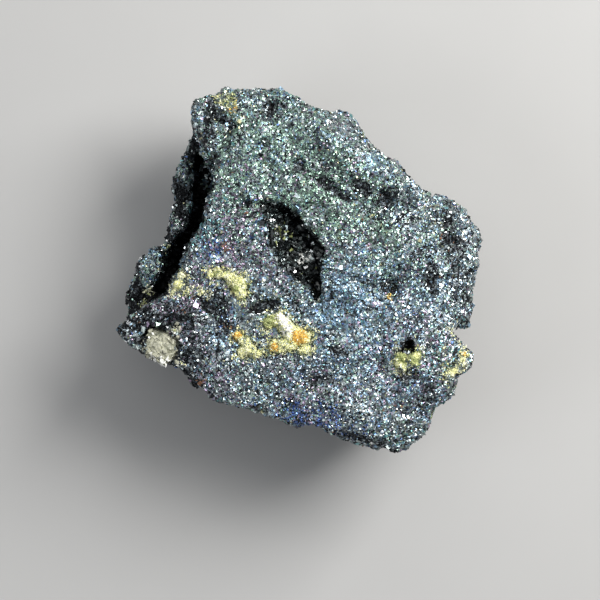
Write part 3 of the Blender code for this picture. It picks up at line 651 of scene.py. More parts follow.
def falloff(distance, radius):
    """1 inside, falling smoothly to 0 at the radius, for arrays."""
    share = unit(1 - distance / radius)
    return share * share * (3 - 2 * share)


def distance_from(places, centre):
    return np.hypot(places[:, 0] - centre[0], places[:, 1] - centre[1])


def distance_from_line(places, line):
    """Level distance of each place from a line of points, in the units of both."""
    best = np.full(len(places), np.inf)
    flat = places[:, :2]
    for start, end in zip(line, line[1:]):
        start, along = np.array(start), np.array(end) - np.array(start)
        share = unit((flat - start) @ along / (along @ along))
        best = np.minimum(best, np.linalg.norm(flat - start - share[:, None] * along, axis=1))
    return best


def nearest_distance(places, others):
    """Distance of each place from the nearest of the others."""
    tree = KDTree(len(others))
    for number, place in enumerate(others):
        tree.insert(place, number)
    tree.balance()
    return np.array([tree.find(place)[2] for place in places])


def reach_of(places, lumps):
    """How far outside the nearest lump each place lies; below 0 inside."""
    return np.min([distance_from(places, centre) - radius for centre, radius in lumps], axis=0)


def spots_at(places, spots, ragged=0.0, reach=1.4, gain=1.0):
    """The strongest of round spots at each place, 0 to 1, with ragged edges."""
    best = np.zeros(len(places))
    for centre, radius in spots:
        near = falloff(distance_from(places, centre) * (1 + ragged), radius * reach)
        best = np.maximum(best, unit(near * gain))
    return best


def noise_shift(seed):
    return Vector((seed * 3.1, seed * 1.7, seed * 2.3))


def noise_at(places, size, seed=0.0, octaves=2):
    """Fractal noise, about -1 to 1, with features of the given size."""
    shift = noise_shift(seed)
    return np.array([noise.fractal(Vector(place) / size + shift, 1.0, 2.0, octaves) for place in places])


def broken_blocks(places, size, seed=0.0):
    """Broken blocks, about -1 to 1: each cell has its own height and tilted face."""
    shift = noise_shift(seed)
    heights = np.empty(len(places))
    for number, place in enumerate(places):
        scaled = Vector(place) / size + shift
        centre = noise.voronoi(scaled)[1][0]
        chance = noise.cell_vector(Vector(centre) * 37.0) - Vector((0.5, 0.5, 0.5))
        heights[number] = chance.x + 2 * chance.dot(scaled - Vector(centre))
    return heights


def joined(name, objects):
    """One object of several, which are taken away; polygons keep their materials."""
    shape = bmesh.new()
    materials = []
    for part in objects:
        materials += [item for item in part.data.materials if item and item not in materials]
    for part in objects:
        own = list(part.data.materials) or [None]
        number_of = np.array([materials.index(item) if item in materials else 0 for item in own])
        worn = read(part.data.polygons, "material_index", int)
        part.data.polygons.foreach_set("material_index", number_of[np.minimum(worn, len(own) - 1)])
        shape.from_mesh(part.data)
    mesh = new_mesh(name, shape)
    for material in materials:
        mesh.materials.append(material)
    for part in objects:
        spent = part.data
        bpy.data.objects.remove(part)
        bpy.data.meshes.remove(spent)
    return new_object(name, mesh)


def paint_polygons(mesh, tint_of_vertex):
    """Gives each polygon the tint of its first corner."""
    starts = read(mesh.polygons, "loop_start", int)
    corners = read(mesh.loops, "vertex_index", int)
    mesh.polygons.foreach_set("material_index", tint_of_vertex[corners[starts]])


def patch_of(surface, name, near):
    """The polygons of a surface whose corners are all marked, as an object of its own."""
    mesh = surface.data
    corners = read(mesh.loops, "vertex_index", int)
    starts = read(mesh.polygons, "loop_start", int)
    inside = np.minimum.reduceat(near[corners].astype(int), starts) > 0
    polygons = [tuple(mesh.polygons[number].vertices) for number in np.flatnonzero(inside)]
    used = sorted({corner for polygon in polygons for corner in polygon})
    number_of = {corner: number for number, corner in enumerate(used)}
    made = bpy.data.meshes.new(name)
    faces = [[number_of[corner] for corner in polygon] for polygon in polygons]
    made.from_pydata(points_of(mesh)[used].tolist(), [], faces)
    return new_object(name, made)


def remeshed(piece, voxel, smoothing):
    step = piece.modifiers.new("remesh", "REMESH")
    step.mode = "VOXEL"
    step.voxel_size = voxel
    soften = piece.modifiers.new("soften", "SMOOTH")
    soften.factor = 0.5
    soften.iterations = smoothing
    return evaluated_mesh(piece)


def finish_piece(piece, nodes):
    """Hangs a finished piece on the rock's body and hides the CAD nodes it stands for."""
    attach(piece, "root")
    if nodes:
        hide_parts(*nodes)


# Scattered grains

def instances(nodes, sizes, others=()):
    """Boxes of the given sizes and other shapes, as instances to pick from in this order."""
    shapes = [nodes.add("GeometryNodeMeshCube", Size=size) for size in sizes] + list(others)
    together = nodes.add("GeometryNodeGeometryToInstance")
    for shape in reversed(shapes):
        nodes.tree.links.new(shape.outputs[0], together.inputs[0])
    return together


def grain_shapes(nodes):
    """A cube, a long slab, a block and a flat cleavage plate."""
    return instances(nodes, [(1.0, 1.0, 1.0), (1.5, 0.75, 0.7), (0.75, 0.8, 1.3), (1.25, 1.1, 0.6)])


def blade_shapes(nodes):
    """Thin blades, plates, small curds and needles of the crusts."""
    curd = nodes.add("GeometryNodeMeshIcoSphere", Radius=0.34, Subdivisions=1)
    needle = nodes.add("GeometryNodeMeshCone", Vertices=4, Radius_Top=0.03, Radius_Bottom=0.13, Depth=0.9)
    return instances(nodes, [(1.0, 0.22, 0.16), (0.7, 0.5, 0.12)], [curd, needle])


def scatter_tree(name, tints, materials, shapes, density_name):
    """Grains on a surface: spaced, picked, turned, sized, sunk, tinted by share and made real."""
    tree = bpy.data.node_groups.new(name, "GeometryNodeTree")
    for way in ("INPUT", "OUTPUT"):
        tree.interface.new_socket("Geometry", in_out=way, socket_type="NodeSocketGeometry")
    for label, default in SCATTER.items():
        kind = "NodeSocketInt" if isinstance(default, int) else "NodeSocketFloat"
        tree.interface.new_socket(label, in_out="INPUT", socket_type=kind).default_value = default
    nodes = NodeTree(tree)
    given = nodes.add("NodeGroupInput").outputs
    position = nodes.add("GeometryNodeInputPosition")

    def attribute(of, kind="FLOAT"):
        return nodes.add("GeometryNodeInputNamedAttribute", {"data_type": kind}, Name=of).outputs[0]

    def chance(seed_shift, low=0.0, high=1.0, kind="FLOAT"):
        node = nodes.add("FunctionNodeRandomValue", {"data_type": kind}, Min=low, Max=high,
                         Seed=nodes.math("ADD", given["Seed"], float(seed_shift)))
        return node.outputs[1 if kind == "FLOAT" else 0]

    crowd = nodes.math("DIVIDE", CROWDING, nodes.math("POWER", given["Spacing"], 2.0))
    spread = nodes.add("GeometryNodeDistributePointsOnFaces", {"distribute_method": "POISSON"},
                       Mesh=given["Geometry"], Distance_Min=given["Spacing"], Density_Max=crowd,
                       Density_Factor=attribute(density_name), Seed=given["Seed"])
    part = nodes.math("FLOORED_MODULO", nodes.add("GeometryNodeInputIndex"), given["Parts"])
    kept = nodes.add("GeometryNodeDeleteGeometry", {"domain": "POINT"}, Geometry=spread,
                     Selection=nodes.compare("INT", "NOT_EQUAL", part, given["Part"]))
    tint = nodes.add("FunctionNodeInputInt", {"integer": 0})
    for number, name_of_tint in enumerate(tints[1:], 1):
        taken = nodes.compare("FLOAT", "LESS_THAN", chance(10 + number), attribute("tint_" + name_of_tint))
        tint = nodes.add("GeometryNodeSwitch", {"input_type": "INT"}, Switch=taken, i1=tint, i2=number)
    told = nodes.add("GeometryNodeStoreNamedAttribute", {"data_type": "INT", "domain": "POINT"},
                     Geometry=kept, Name="tint", Value=tint)

    small_share = nodes.math("POWER", chance(2), SMALL_BIAS)
    size = nodes.add("ShaderNodeMapRange", Value=small_share, To_Min=given["Smallest"],
                     To_Max=given["Largest"]).outputs[0]
    patch = nodes.add("ShaderNodeTexNoise", Vector=position, Scale=nodes.math("DIVIDE", 1.0, given["Clump"]),
                      Detail=1.0)
    shared = nodes.vector("MULTIPLY_ADD", patch.outputs["Color"], (2 * SHARED_LEAN, 2 * SHARED_LEAN, 0.0),
                          (-SHARED_LEAN, -SHARED_LEAN, 0.0))
    own = chance(3, (-OWN_LEAN, -OWN_LEAN, 0.0), (OWN_LEAN, OWN_LEAN, 0.0), "FLOAT_VECTOR")
    lean = nodes.vector("SCALE", nodes.vector("ADD", own, shared), Scale=given["Tilt"])
    spin = nodes.add("ShaderNodeCombineXYZ", Z=chance(5, 0.0, math.tau))
    turn = nodes.add("FunctionNodeRotateRotation", {"rotation_space": "LOCAL"},
                     i0=spread.outputs["Rotation"], i1=nodes.vector("ADD", lean, spin))
    placed = nodes.add("GeometryNodeInstanceOnPoints", Points=told, Instance=shapes(nodes),
                       Pick_Instance=True, Instance_Index=nodes.math("FLOOR", chance(4, 0.0, 3.999)),
                       Rotation=turn, Scale=size)
    depth = nodes.math("MULTIPLY", nodes.math("MULTIPLY", size, given["Sunk"]), -1.0)
    into = nodes.vector("SCALE", spread.outputs["Normal"], Scale=depth)
    sunk = nodes.add("GeometryNodeTranslateInstances", Instances=placed, Translation=into, Local_Space=False)
    shape = nodes.add("GeometryNodeRealizeInstances", Geometry=sunk)

    uneven = nodes.add("ShaderNodeTexNoise", Vector=position, Scale=WEAR_SCALE, Detail=0.0)
    push = nodes.vector("SUBTRACT", uneven.outputs["Color"], (0.5, 0.5, 0.5))
    push = nodes.vector("SCALE", push, Scale=nodes.math("MULTIPLY", given["Wear"], 5.0))
    shape = nodes.add("GeometryNodeSetPosition", Geometry=shape, Offset=push)
    for number, material in enumerate(materials):
        same = nodes.compare("INT", "EQUAL", attribute("tint", "INT"), number)
        shape = nodes.add("GeometryNodeSetMaterial", Geometry=shape, Selection=same, Material=material)
    nodes.put(nodes.add("NodeGroupOutput").inputs[0], shape)
    return tree


def scatter(name, surface, tree, **values):
    """A piece of grains on a copy of the surface, as a plain mesh."""
    piece = new_object(name, surface.data.copy())
    modifier = piece.modifiers.new("grains", "NODES")
    modifier.node_group = tree
    identifiers = {item.name: item.identifier for item in tree.interface.items_tree if item.in_out == "INPUT"}
    for label, value in {**SCATTER, **values}.items():
        modifier[identifiers[label]] = value
    drop_shares(evaluated_mesh(piece))
    return piece


def drop_shares(mesh):
    """Takes the shares that only the scattering needs off a finished mesh."""
    for name in [item.name for item in mesh.attributes]:
        if name.startswith(("tint", "grain_", "depth")) or "_share" in name:
            mesh.attributes.remove(mesh.attributes[name])


def scatter_coarse(name, ground, share, spacing, largest, seed):
    """A piece of coarse galena grains on a patch of the rock, which is taken away."""
    shares = {"bright": 0.14, "sage": 0.14, "blue_steel": 0.2, "soot": 0.32}
    tints = ["steel"] + list(shares)
    everywhere = np.ones(len(ground.data.vertices))
    set_shares(ground.data, {tint: value * everywhere for tint, value in shares.items()})
    materials = [bpy.data.materials["grain_" + tint] for tint in tints]
    tree = scatter_tree(name, tints, materials, grain_shapes, share)
    grains = scatter(name, ground, tree, Spacing=spacing, Smallest=largest * 0.35, Largest=largest, Tilt=1.2,
                     Wear=largest * 0.2, Seed=seed)
    bpy.data.objects.remove(ground)
    finish_piece(grains, [])


# The rock's surface

def smooth_spots(places, patchy):
    """How far every place lies in each smooth spot, 0 to 1, with the share of grains left in the spot."""
    for centre, radius, left in SMOOTH_SPOTS:
        near = unit(falloff(distance_from(places, centre) + 0.6 * patchy, radius * 1.25) * 2.2)
        yield near * (places[:, 2] > FACE_LEVEL), left


def gloom_at(places, ragged):
    """How much painted shade the broken hollows and grooves get at each place, 0 to 1, with ragged edges."""
    gloom = np.zeros(len(places))
    for centre, long, short, turn, strength in DARK_SPOTS:
        along = np.array([math.cos(math.radians(turn)), math.sin(math.radians(turn))])
        flat = places[:, :2] - np.array(centre)
        far = np.hypot(flat @ along / long, flat @ np.array([-along[1], along[0]]) / short)
        gloom = np.maximum(gloom, strength * unit((1.25 - far - 0.35 * ragged) * 1.8))
    return gloom * unit((places[:, 2] - 24.5) / 3.0)


def depth_at(places, normals, patchy):
    """How deep in the crevice, the hollow or the pit each place lies, which sets the painted shade there, and
    the crevice's painted glints.
    """
    x, y, z = places.T
    crevice = falloff(distance_from_line(places, CREVICE_LINE), 3.0) * unit((22.5 - z) / 3.0) * (z > 9)
    line_x, line_y = np.array(CREVICE_LINE[::-1]).T
    crevice *= (x > np.interp(y, line_y, line_x) - 0.8) | (normals[:, 0] > -0.25)
    # Painted glints on the crevice's walls
    glints = spots_at(places, CREVICE_GLINTS, 0.4 * patchy, gain=2)
    glints *= (z < 26) & (normals[:, 2] > -0.2)
    depth = unit(crevice * 1.4) * (1 - 0.85 * glints)
    pit = unit(falloff(distance_from(places, PIT[0]), PIT[1]) * 2.4) * (z > FACE_LEVEL)
    hollow = falloff(distance_from_line(places, HOLLOW_LINE), 7.0) * unit((HOLLOW_RIM - z) / 1.2) * (z > 22)
    return np.maximum(depth, np.maximum(pit, np.clip(hollow * 1.6, 0, 0.92))), glints


def set_grain_places(mesh, places, normals, depth, patchy, speckled):
    """Stores where the grains of the face, of the sides and the coarse ones sit."""
    z = places[:, 2]
    share = np.clip(0.92 + 0.35 * speckled, 0.25, 1.0)
    for near, left in smooth_spots(places, patchy):
        share *= 1 - near * (1 - left)
    share *= 1 - 0.8 * unit(depth * 1.2)
    for crust in CRUSTS.values():
        share *= 1 - 0.8 * unit(0.6 - reach_of(places, crust["lumps"])) * (z > FACE_LEVEL)
    for centre, radius, _ in SPECKS:
        share *= 1 - 0.7 * falloff(distance_from(places, centre), radius) * (z > 20)
    facing = unit((normals[:, 2] - 0.15) / 0.25) * (z > 15)
    below = np.where(normals[:, 2] < -0.5, 0.6, 1.0)
    chips = np.maximum(unit(0.25 + 0.6 * patchy), spots_at(places, RUBBLE_SPOTS, reach=1.3))
    set_attribute(mesh, "grain_face", share * facing)
    set_attribute(mesh, "grain_side", share * (1 - facing) * (z > 1.0) * below)
    set_attribute(mesh, "grain_coarse", chips * unit(1 - depth) * (z > 0.8))


def skin_shares(mesh):
    """Stores on the surface where grains sit, how deep in shade it lies and each tint's share."""
    places, normals = points_of(mesh) / MM, normals_of(mesh)
    x, y, z = places.T
    patchy = noise_at(places, 3.0, 1.0)
    speckled = noise_at(places, 1.1, 2.0)
    depth, glints = depth_at(places, normals, patchy)
    set_grain_places(mesh, places, normals, depth, patchy, speckled)

    on_face = unit((z - 26.5) / 3.5)
    shares = {tint: np.full(len(places), PLAIN_SHARES[tint]) for tint in TINTS[1:]}
    for tint, spots in TARNISH_SPOTS.items():
        for centre, radius, most in spots:
            near = falloff(distance_from(places, centre) * (1 + 0.35 * patchy), radius * 1.3)
            shares[tint] += most * unit(near * 1.6) * on_face
    for tint, (size, seed, gain, threshold, most) in TINT_PATCHES.items():
        shares[tint] += most * unit(noise_at(places, size, seed) * gain - threshold)
    # Random dark grains, and painted shade: more dark grains deep in the crevice, the hollow and the pit
    shares["soot"] += 0.5 * unit(speckled * 1.4 - 0.25) + 0.6 * depth

    # Painted shade: dark grains in the hollows and grooves, stronger where they face up
    gloom = gloom_at(places, patchy + 0.8 * speckled)
    gloom *= 0.3 + 0.7 * unit((normals[:, 2] - 0.1) / 0.3)
    # Painted shade: the lower ledge takes dark grains, except its lit tops and the crevice's glints, which
    # take painted light
    ledge = unit((25.0 - z) / 1.5) * (x < -18) * (normals[:, 2] > 0.1)
    lit = np.maximum(glints, spots_at(places, LEDGE_TOPS, 0.4 * patchy, gain=1.8))
    shares["sage"] += 0.3 * lit * ledge
    shares["bright"] += 0.25 * lit * (z < 26)
    ledge *= 1 - lit
    gloom = unit(np.maximum(gloom, ledge * 0.97))
    for tint in shares:
        shares[tint] *= 1 - 0.75 * gloom
    shares["soot"] += 0.86 * gloom
    shares["bright"] += 0.12 * unit(noise_at(places, 2.0, 6.0) * 2.0) - 0.12 * depth

    stark = falloff(distance_from(places, STARK[0]), STARK[1]) * on_face
    for tint in ("blue_steel", "sage", "teal", "straw"):
        shares[tint] *= 1 - 0.6 * stark
    shares["soot"] += 0.34 * stark
    shares["bright"] += 0.3 * stark
    # Painted shade: the share of facets that take the near-black shade colour, in the recesses, the dark
    # spots and on the ledge
    set_attribute(mesh, "depth", unit(np.maximum(depth, np.maximum(0.75 * gloom, ledge))))
    set_shares(mesh, shares)


def roughened(mesh, settings):
    """Gives the rebuilt surface its small blocks, rubble and single facets."""
    places, normals = points_of(mesh) / MM, normals_of(mesh)
    z = places[:, 2]
    patchy = noise_at(places, 3.0, 1.0)
    rough = np.ones(len(places))
    for near, left in smooth_spots(places, patchy):
        rough *= 1 - near * (1 - 0.3 * left)
    rubble = spots_at(places, RUBBLE_SPOTS, 0.25 * patchy, 1.2) * (z > 20)
    side = 1 - unit((normals[:, 2] - 0.3) / 0.3) * (z > 15)
    side *= np.clip((27.0 - z) / 9.0, 0.2, 1)
    height = np.zeros(len(places))
    # Blocks: height, size, seed, how far they are sunk, and where they are
    for strength, size, seed, drop, share in (
        (settings.relief, 1.5, 11.0, 0.0, rough), (settings.relief * 1.2, 3.2, 14.0, 0.0, rough),
        (settings.side_relief, 8.0, 15.0, 0.35, side), (settings.side_relief * 0.55, 3.6, 17.0, 0.0, side),
        (settings.side_relief * 0.25, 1.9, 16.0, 0.0, side),
    ):
        height += strength * (broken_blocks(places, size, seed) - drop) * share
    height += settings.relief * 0.6 * noise_at(places, 0.8, 12.0) * rough
    height += settings.rubble * (broken_blocks(places, 1.25, 13.0) - 0.35) * rubble
    height += settings.facet * np.random.default_rng(29).uniform(-1, 1, len(places)) * rough
    height -= settings.sink * gloom_at(places, patchy)
    height = (height - settings.inset) * unit(z / 0.8)
    set_points(mesh, (places * MM) + normals * height[:, None])


def paint_skin(mesh, settings, tarnish):
    """Gives each facet of the surface one of its shades: fresh, dull, dark, tarnished or in deep shade."""
    light, dark = Vector(settings.light), Vector(settings.dark)
    shades = {"fresh": light, "dull": dark.lerp(light, 0.45), "dark": dark}
    shades.update({tint: Vector(getattr(tarnish, tint)) * 0.7 for tint in SKIN_TINTS})
    shades["shade"] = Vector(settings.shade)
    number_of = {name: number for number, name in enumerate(shades)}
    set_materials(mesh, [skin_material("skin_" + name, shade) for name, shade in shades.items()])
    places = points_of(mesh) / MM
    rng = np.random.default_rng(31)
    tone = noise_at(places, 1.2, 81.0) + 0.25 * rng.uniform(-1, 1, len(places))
    dull = np.where(tone > -0.2, number_of["dull"], number_of["dark"])
    worn = np.where(tone > 0.12, number_of["fresh"], dull)

    def drawn(share_name):
        return rng.uniform(0, 1, len(places)), read(mesh.attributes[share_name].data, "value", np.float32)

    for tint in SKIN_TINTS:
        chance, share = drawn("tint_" + tint)
        worn[(chance < 0.8 * share) & (tone > -0.2)] = number_of[tint]
    chance, share = drawn("depth")
    worn[chance < share] = number_of["shade"]
    paint_polygons(mesh, worn)


class SPECIMEN_OT_skin(bpy.types.Operator):
    """Rebuilds the rock's surface finer than the CAD's and breaks it up"""

    bl_idname = "specimen.skin"
    bl_label = "Rock surface"

    def execute(self, context):
        settings = context.scene.specimen_skin
        skin = node_copy("galena_mass", "galena_skin")
        mesh = remeshed(skin, settings.voxel, 3)
        roughened(mesh, settings)
        skin_shares(mesh)
        paint_skin(mesh, settings, context.scene.specimen_tarnish)
        mesh.shade_flat()
        finish_piece(skin, ["galena_mass"])
        return {"FINISHED"}


class SPECIMEN_OT_grains(bpy.types.Operator):
    """Covers the surface with small galena grains, and coarser ones where it is broken up"""

    bl_idname = "specimen.grains"
    bl_label = "Galena grains"

    def execute(self, context):
        settings = context.scene.specimen_grains
        tarnish = context.scene.specimen_tarnish
        skin = bpy.data.objects["galena_skin"]
        roughness = {"bright": 0.26, "soot": 0.42, "rust": 0.7}
        materials = [
            grain_material("grain_" + tint, Vector(getattr(tarnish, tint)), roughness.get(tint, 0.38),
                           0.1 if tint == "rust" else 1.0)
            for tint in TINTS
        ]
        least, most = settings.smallest, settings.largest
        groups = [
            ("face_grains", "grain_face", settings.face_spacing, least, most, 3),
            ("side_grains", "grain_side", settings.side_spacing, least * 1.9, most * 2.0, 2),
            ("coarse_grains", "grain_coarse", settings.coarse_spacing, most, settings.coarse_largest, 1),
        ]
        for name, share, spacing, smallest, largest, parts in groups:
            tree = scatter_tree(name, TINTS, materials, grain_shapes, share)
            for part in range(parts):
                piece = scatter(f"{name}_{part + 1}", skin, tree, Spacing=spacing, Smallest=smallest,
                                Largest=largest, Sunk=settings.sunk, Tilt=settings.tilt,
                                Wear=settings.wear * largest / most, Clump=settings.clump,
                                Seed=settings.seed, Parts=parts, Part=part)
                finish_piece(piece, [])
        drop_shares(skin.data)
        return {"FINISHED"}


# The mineral crusts

def crust_shares(mesh, lumps, base, spots, fringe, seed):
    """Stores how dense the crust's blades stand and each tint's share; returns the tint of each vertex."""
    places = points_of(mesh) / MM
    lace = noise_at(places, 0.75, seed)
    veins = 1 - np.abs(noise_at(places, 1.3, seed + 1, 1)) * 3.4
    reach = reach_of(places, lumps) - 0.9 * unit(noise_at(places, 1.5, seed + 6, 1) * 2.2)
    share = unit(1.15 - np.clip(reach, 0, None) / fringe * 1.5)
    share *= unit(0.25 + np.maximum(lace * 3.0, veins)) ** np.where(reach > -0.4, 1.0, 0.35)
    set_attribute(mesh, "crust_share", share)
    shares = {tint: np.zeros(len(places)) for tint in CRUST_TINTS[1:] + ["rock"]}
    shares["cream"] += 0.25 + 0.5 * unit(lace * 2.5)
    shares["olive"] += 0.06 + 0.35 * unit(-lace * 2.5)
    shares["rock"] += unit(0.05 + 0.6 * unit(-lace * 3.4 - 0.5))
    if base in shares:
        shares[base] += 0.45
    for tint, centre, radius in spots:
        near = unit(falloff(distance_from(places, centre) + 0.35 * lace, radius * 1.3) * 2.2)
        for other in shares:
            shares[other] *= 1 - 0.85 * near
        if tint in shares:
            shares[tint] += 0.85 * near
    set_shares(mesh, shares)
    rng = np.random.default_rng(int(seed * 10) + 3)
    worn = np.zeros(len(places), int)
    for number, values in enumerate(shares.values(), 1):
        worn[rng.uniform(0, 1, len(places)) < values] = number
    return worn


class SPECIMEN_OT_crusts(bpy.types.Operator):
    """Builds the six lacy mineral crusts over the CAD's, and the specks of the same mineral"""

    bl_idname = "specimen.crusts"
    bl_label = "Mineral crusts"

    def execute(self, context):
        settings = context.scene.specimen_crusts
        rock = Vector(context.scene.specimen_tarnish.steel) * 0.7
        materials = [crust_material(tint, Vector(getattr(settings, tint))) for tint in CRUST_TINTS]
        materials.append(grain_material("crust_rock", rock, 0.35))
        tree = scatter_tree("crust_blades", CRUST_TINTS + ["rock"], materials, blade_shapes, "crust_share")
        skin = bpy.data.objects["galena_skin"]
        places = points_of(skin.data) / MM
        up = (normals_of(skin.data)[:, 2] > 0.3) & (places[:, 2] > 18)
        fringe = settings.fringe / MM
        for number, (node, crust) in enumerate(CRUSTS.items()):
            near = up & (reach_of(places, crust["lumps"]) < fringe * 1.4)
            around = patch_of(skin, node + "_around", near)
            self.build_crust(settings, tree, materials, node, around, fringe, number)
        grounds = []
        for centre, radius, tint in SPECKS:
            ground = patch_of(skin, "speck_ground", up & (distance_from(places, centre) < radius * 1.3))
            if len(ground.data.vertices) == 0:
                bpy.data.objects.remove(ground)
                continue
            crust_shares(ground.data, [(centre, radius * 0.8)], tint, [], radius, 50.0 + radius)
            grounds.append(ground)
        ground = joined("specks_ground", grounds)
        specks = self.blades("mineral_specks", ground, tree, settings, 0.35, -0.4, 40)
        finish_piece(specks, [])
        return {"FINISHED"}

    @staticmethod
    def blades(name, ground, tree, settings, smallest, sunk, seed):
        """The crust's blades on a ground, which is taken away."""
        ground.data.update()
        made = scatter(name, ground, tree, Spacing=settings.spacing, Smallest=settings.blade * smallest,
                       Largest=settings.blade, Sunk=sunk, Tilt=1.1, Wear=0.04 * MM, Seed=seed)
        bpy.data.objects.remove(ground)
        return made

    def build_crust(self, settings, tree, materials, node, around, fringe, number):
        """One crust: its rugged body and the blades on it and on the rock around it."""
        crust = CRUSTS[node]
        seed = 20.0 + 3 * number
        base = node_copy(node, node + "_base")
        mesh = remeshed(base, FINE_VOXEL, 1)
        places, normals = points_of(mesh), normals_of(mesh)
        reach = reach_of(places / MM, crust["lumps"])
        rugged = 0.34 * noise_at(places / MM, 1.0, seed) + 0.2 * noise_at(places / MM, 0.4, seed + 2)
        rugged += 0.3 * broken_blocks(places / MM, 0.8, seed + 4)
        rugged -= 0.25 * unit((reach + 0.7) / 0.7)
        places += normals * rugged[:, None] * MM
        places[:, 2] -= 0.55 * MM * unit(0.4 - normals[:, 2])
        set_points(mesh, places)
        ground = joined(node + "_ground", [new_object("base_copy", mesh.copy()), around])
        look = (crust["lumps"], crust["base"], crust["spots"], fringe, seed)
        crust_shares(ground.data, *look)
        blades = self.blades(node + "_blades", ground, tree, settings, 0.3, -0.25, number + 3)
        worn = crust_shares(mesh, *look)
        set_materials(mesh, materials)
        paint_polygons(mesh, worn)
        piece = joined(node + "_mineral", [base, blades])
        piece.data.shade_flat()
        drop_shares(piece.data)
        finish_piece(piece, [node])


# The hollow and the quartz

class SPECIMEN_OT_hollow(bpy.types.Operator):
    """Lines the central hollow with crystals of many sizes over the CAD's"""

    bl_idname = "specimen.hollow"
    bl_label = "Hollow crystals"

    def execute(self, context):
        settings = context.scene.specimen_hollow
        tarnish = context.scene.specimen_tarnish
        skin = bpy.data.objects["galena_skin"]
        lining = node_copy("vug_crystals", "vug_lining")
        wear = lining.modifiers.new("wear", "BEVEL")
        wear.width = settings.bevel
        wear.segments = 1
        wear.limit_method = "ANGLE"
        wear.angle_limit = math.radians(40)
        wear.use_clamp_overlap = True
        mesh = evaluated_mesh(lining)
        materials = {
            "soot": grain_material("hollow_dark_and_shade", settings.soot, 0.35),
            "dark": dark_crystal_material(settings.dark),
            "steel": grain_material("hollow_steel", Vector(tarnish.steel) * 0.8, 0.25),
            "bright": grain_material("hollow_bright", Vector(tarnish.bright), 0.12),
            "pale": crystal_material("hollow_pale", settings.pale, 0.1, 0.3),
            "olive": crust_material("hollow_olive", Vector(context.scene.specimen_crusts.olive) * 0.7),
        }
        places = points_of(skin.data) / MM
        z = places[:, 2]
        inside = (distance_from_line(places, HOLLOW_LINE) < 7.5) & (z < HOLLOW_RIM + 1.4) & (z > FACE_LEVEL)
        walls = patch_of(skin, "hollow_walls", inside)
        ground = joined("hollow_ground", [new_object("lining_copy", mesh.copy()), walls])
        places = points_of(ground.data) / MM
        # Painted light: more steel and bright crystals towards the lit left wall and round the clear
        # crystals. More bright ones at the upper end as well.
        left = unit((-places[:, 0] - 0.5) / 4.0)

        def near(centre, radius):
            return falloff(distance_from(places, centre), radius)

        set_shares(ground.data, {
            "dark": np.full(len(places), 0.4),
            "steel": 0.12 + 0.4 * left,
            "bright": 0.08 + 0.12 * left + 0.3 * near(HOLLOW_CLEAR, 2.6) + 0.12 * near(HOLLOW_TOP, 3.0),
            "pale": 0.02 + 2.0 * near(HOLLOW_CLEAR, 1.3),
            "olive": 0.6 * near(HOLLOW_FILM, 1.5) + 0.01,
        })
        depth_share = unit(1.0 - (places[:, 2] - HOLLOW_RIM) / 1.6)
        share = (0.7 + 0.3 * (noise_at(places, 1.4, 61.0) > -0.1)) * depth_share
        set_attribute(ground.data, "hollow_share", share)
        tree = scatter_tree("hollow_crystals", list(materials), materials.values(), grain_shapes,
                            "hollow_share")
        crystals = scatter("hollow_small", ground, tree, Spacing=settings.spacing,
                           Smallest=settings.largest * 0.35, Largest=settings.largest, Tilt=1.1,
                           Wear=0.14 * MM, Seed=5)
        bpy.data.objects.remove(ground)
        # Painted shade: the hollow's large crystals all take the near-black colour
        set_materials(mesh, materials.values())
        paint_polygons(mesh, np.full(len(mesh.vertices), list(materials).index("dark")))
        piece = joined("hollow_crystals", [lining, crystals])
        piece.data.shade_flat()
        drop_shares(piece.data)
        finish_piece(piece, ["vug_crystals"])
        self.break_rim(settings, skin)
        return {"FINISHED"}

    @staticmethod
    def break_rim(settings, skin):
        """Coarse grains that make the hollow's rim ragged."""
        places = points_of(skin.data) / MM
        near = distance_from_line(places, RIM_LINE) < 1.8
        rim = patch_of(skin, "rim_ground", near & (places[:, 2] > 30.5))
        places = points_of(rim.data) / MM
        share = unit(1.2 - distance_from_line(places, RIM_LINE) / 1.5)
        share *= unit(0.55 + 1.3 * noise_at(places, 1.5, 63.0))
        set_attribute(rim.data, "rim_share", share)
        scatter_coarse("rim_grains", rim, "rim_share", settings.rim_spacing, settings.rim_largest, 13)


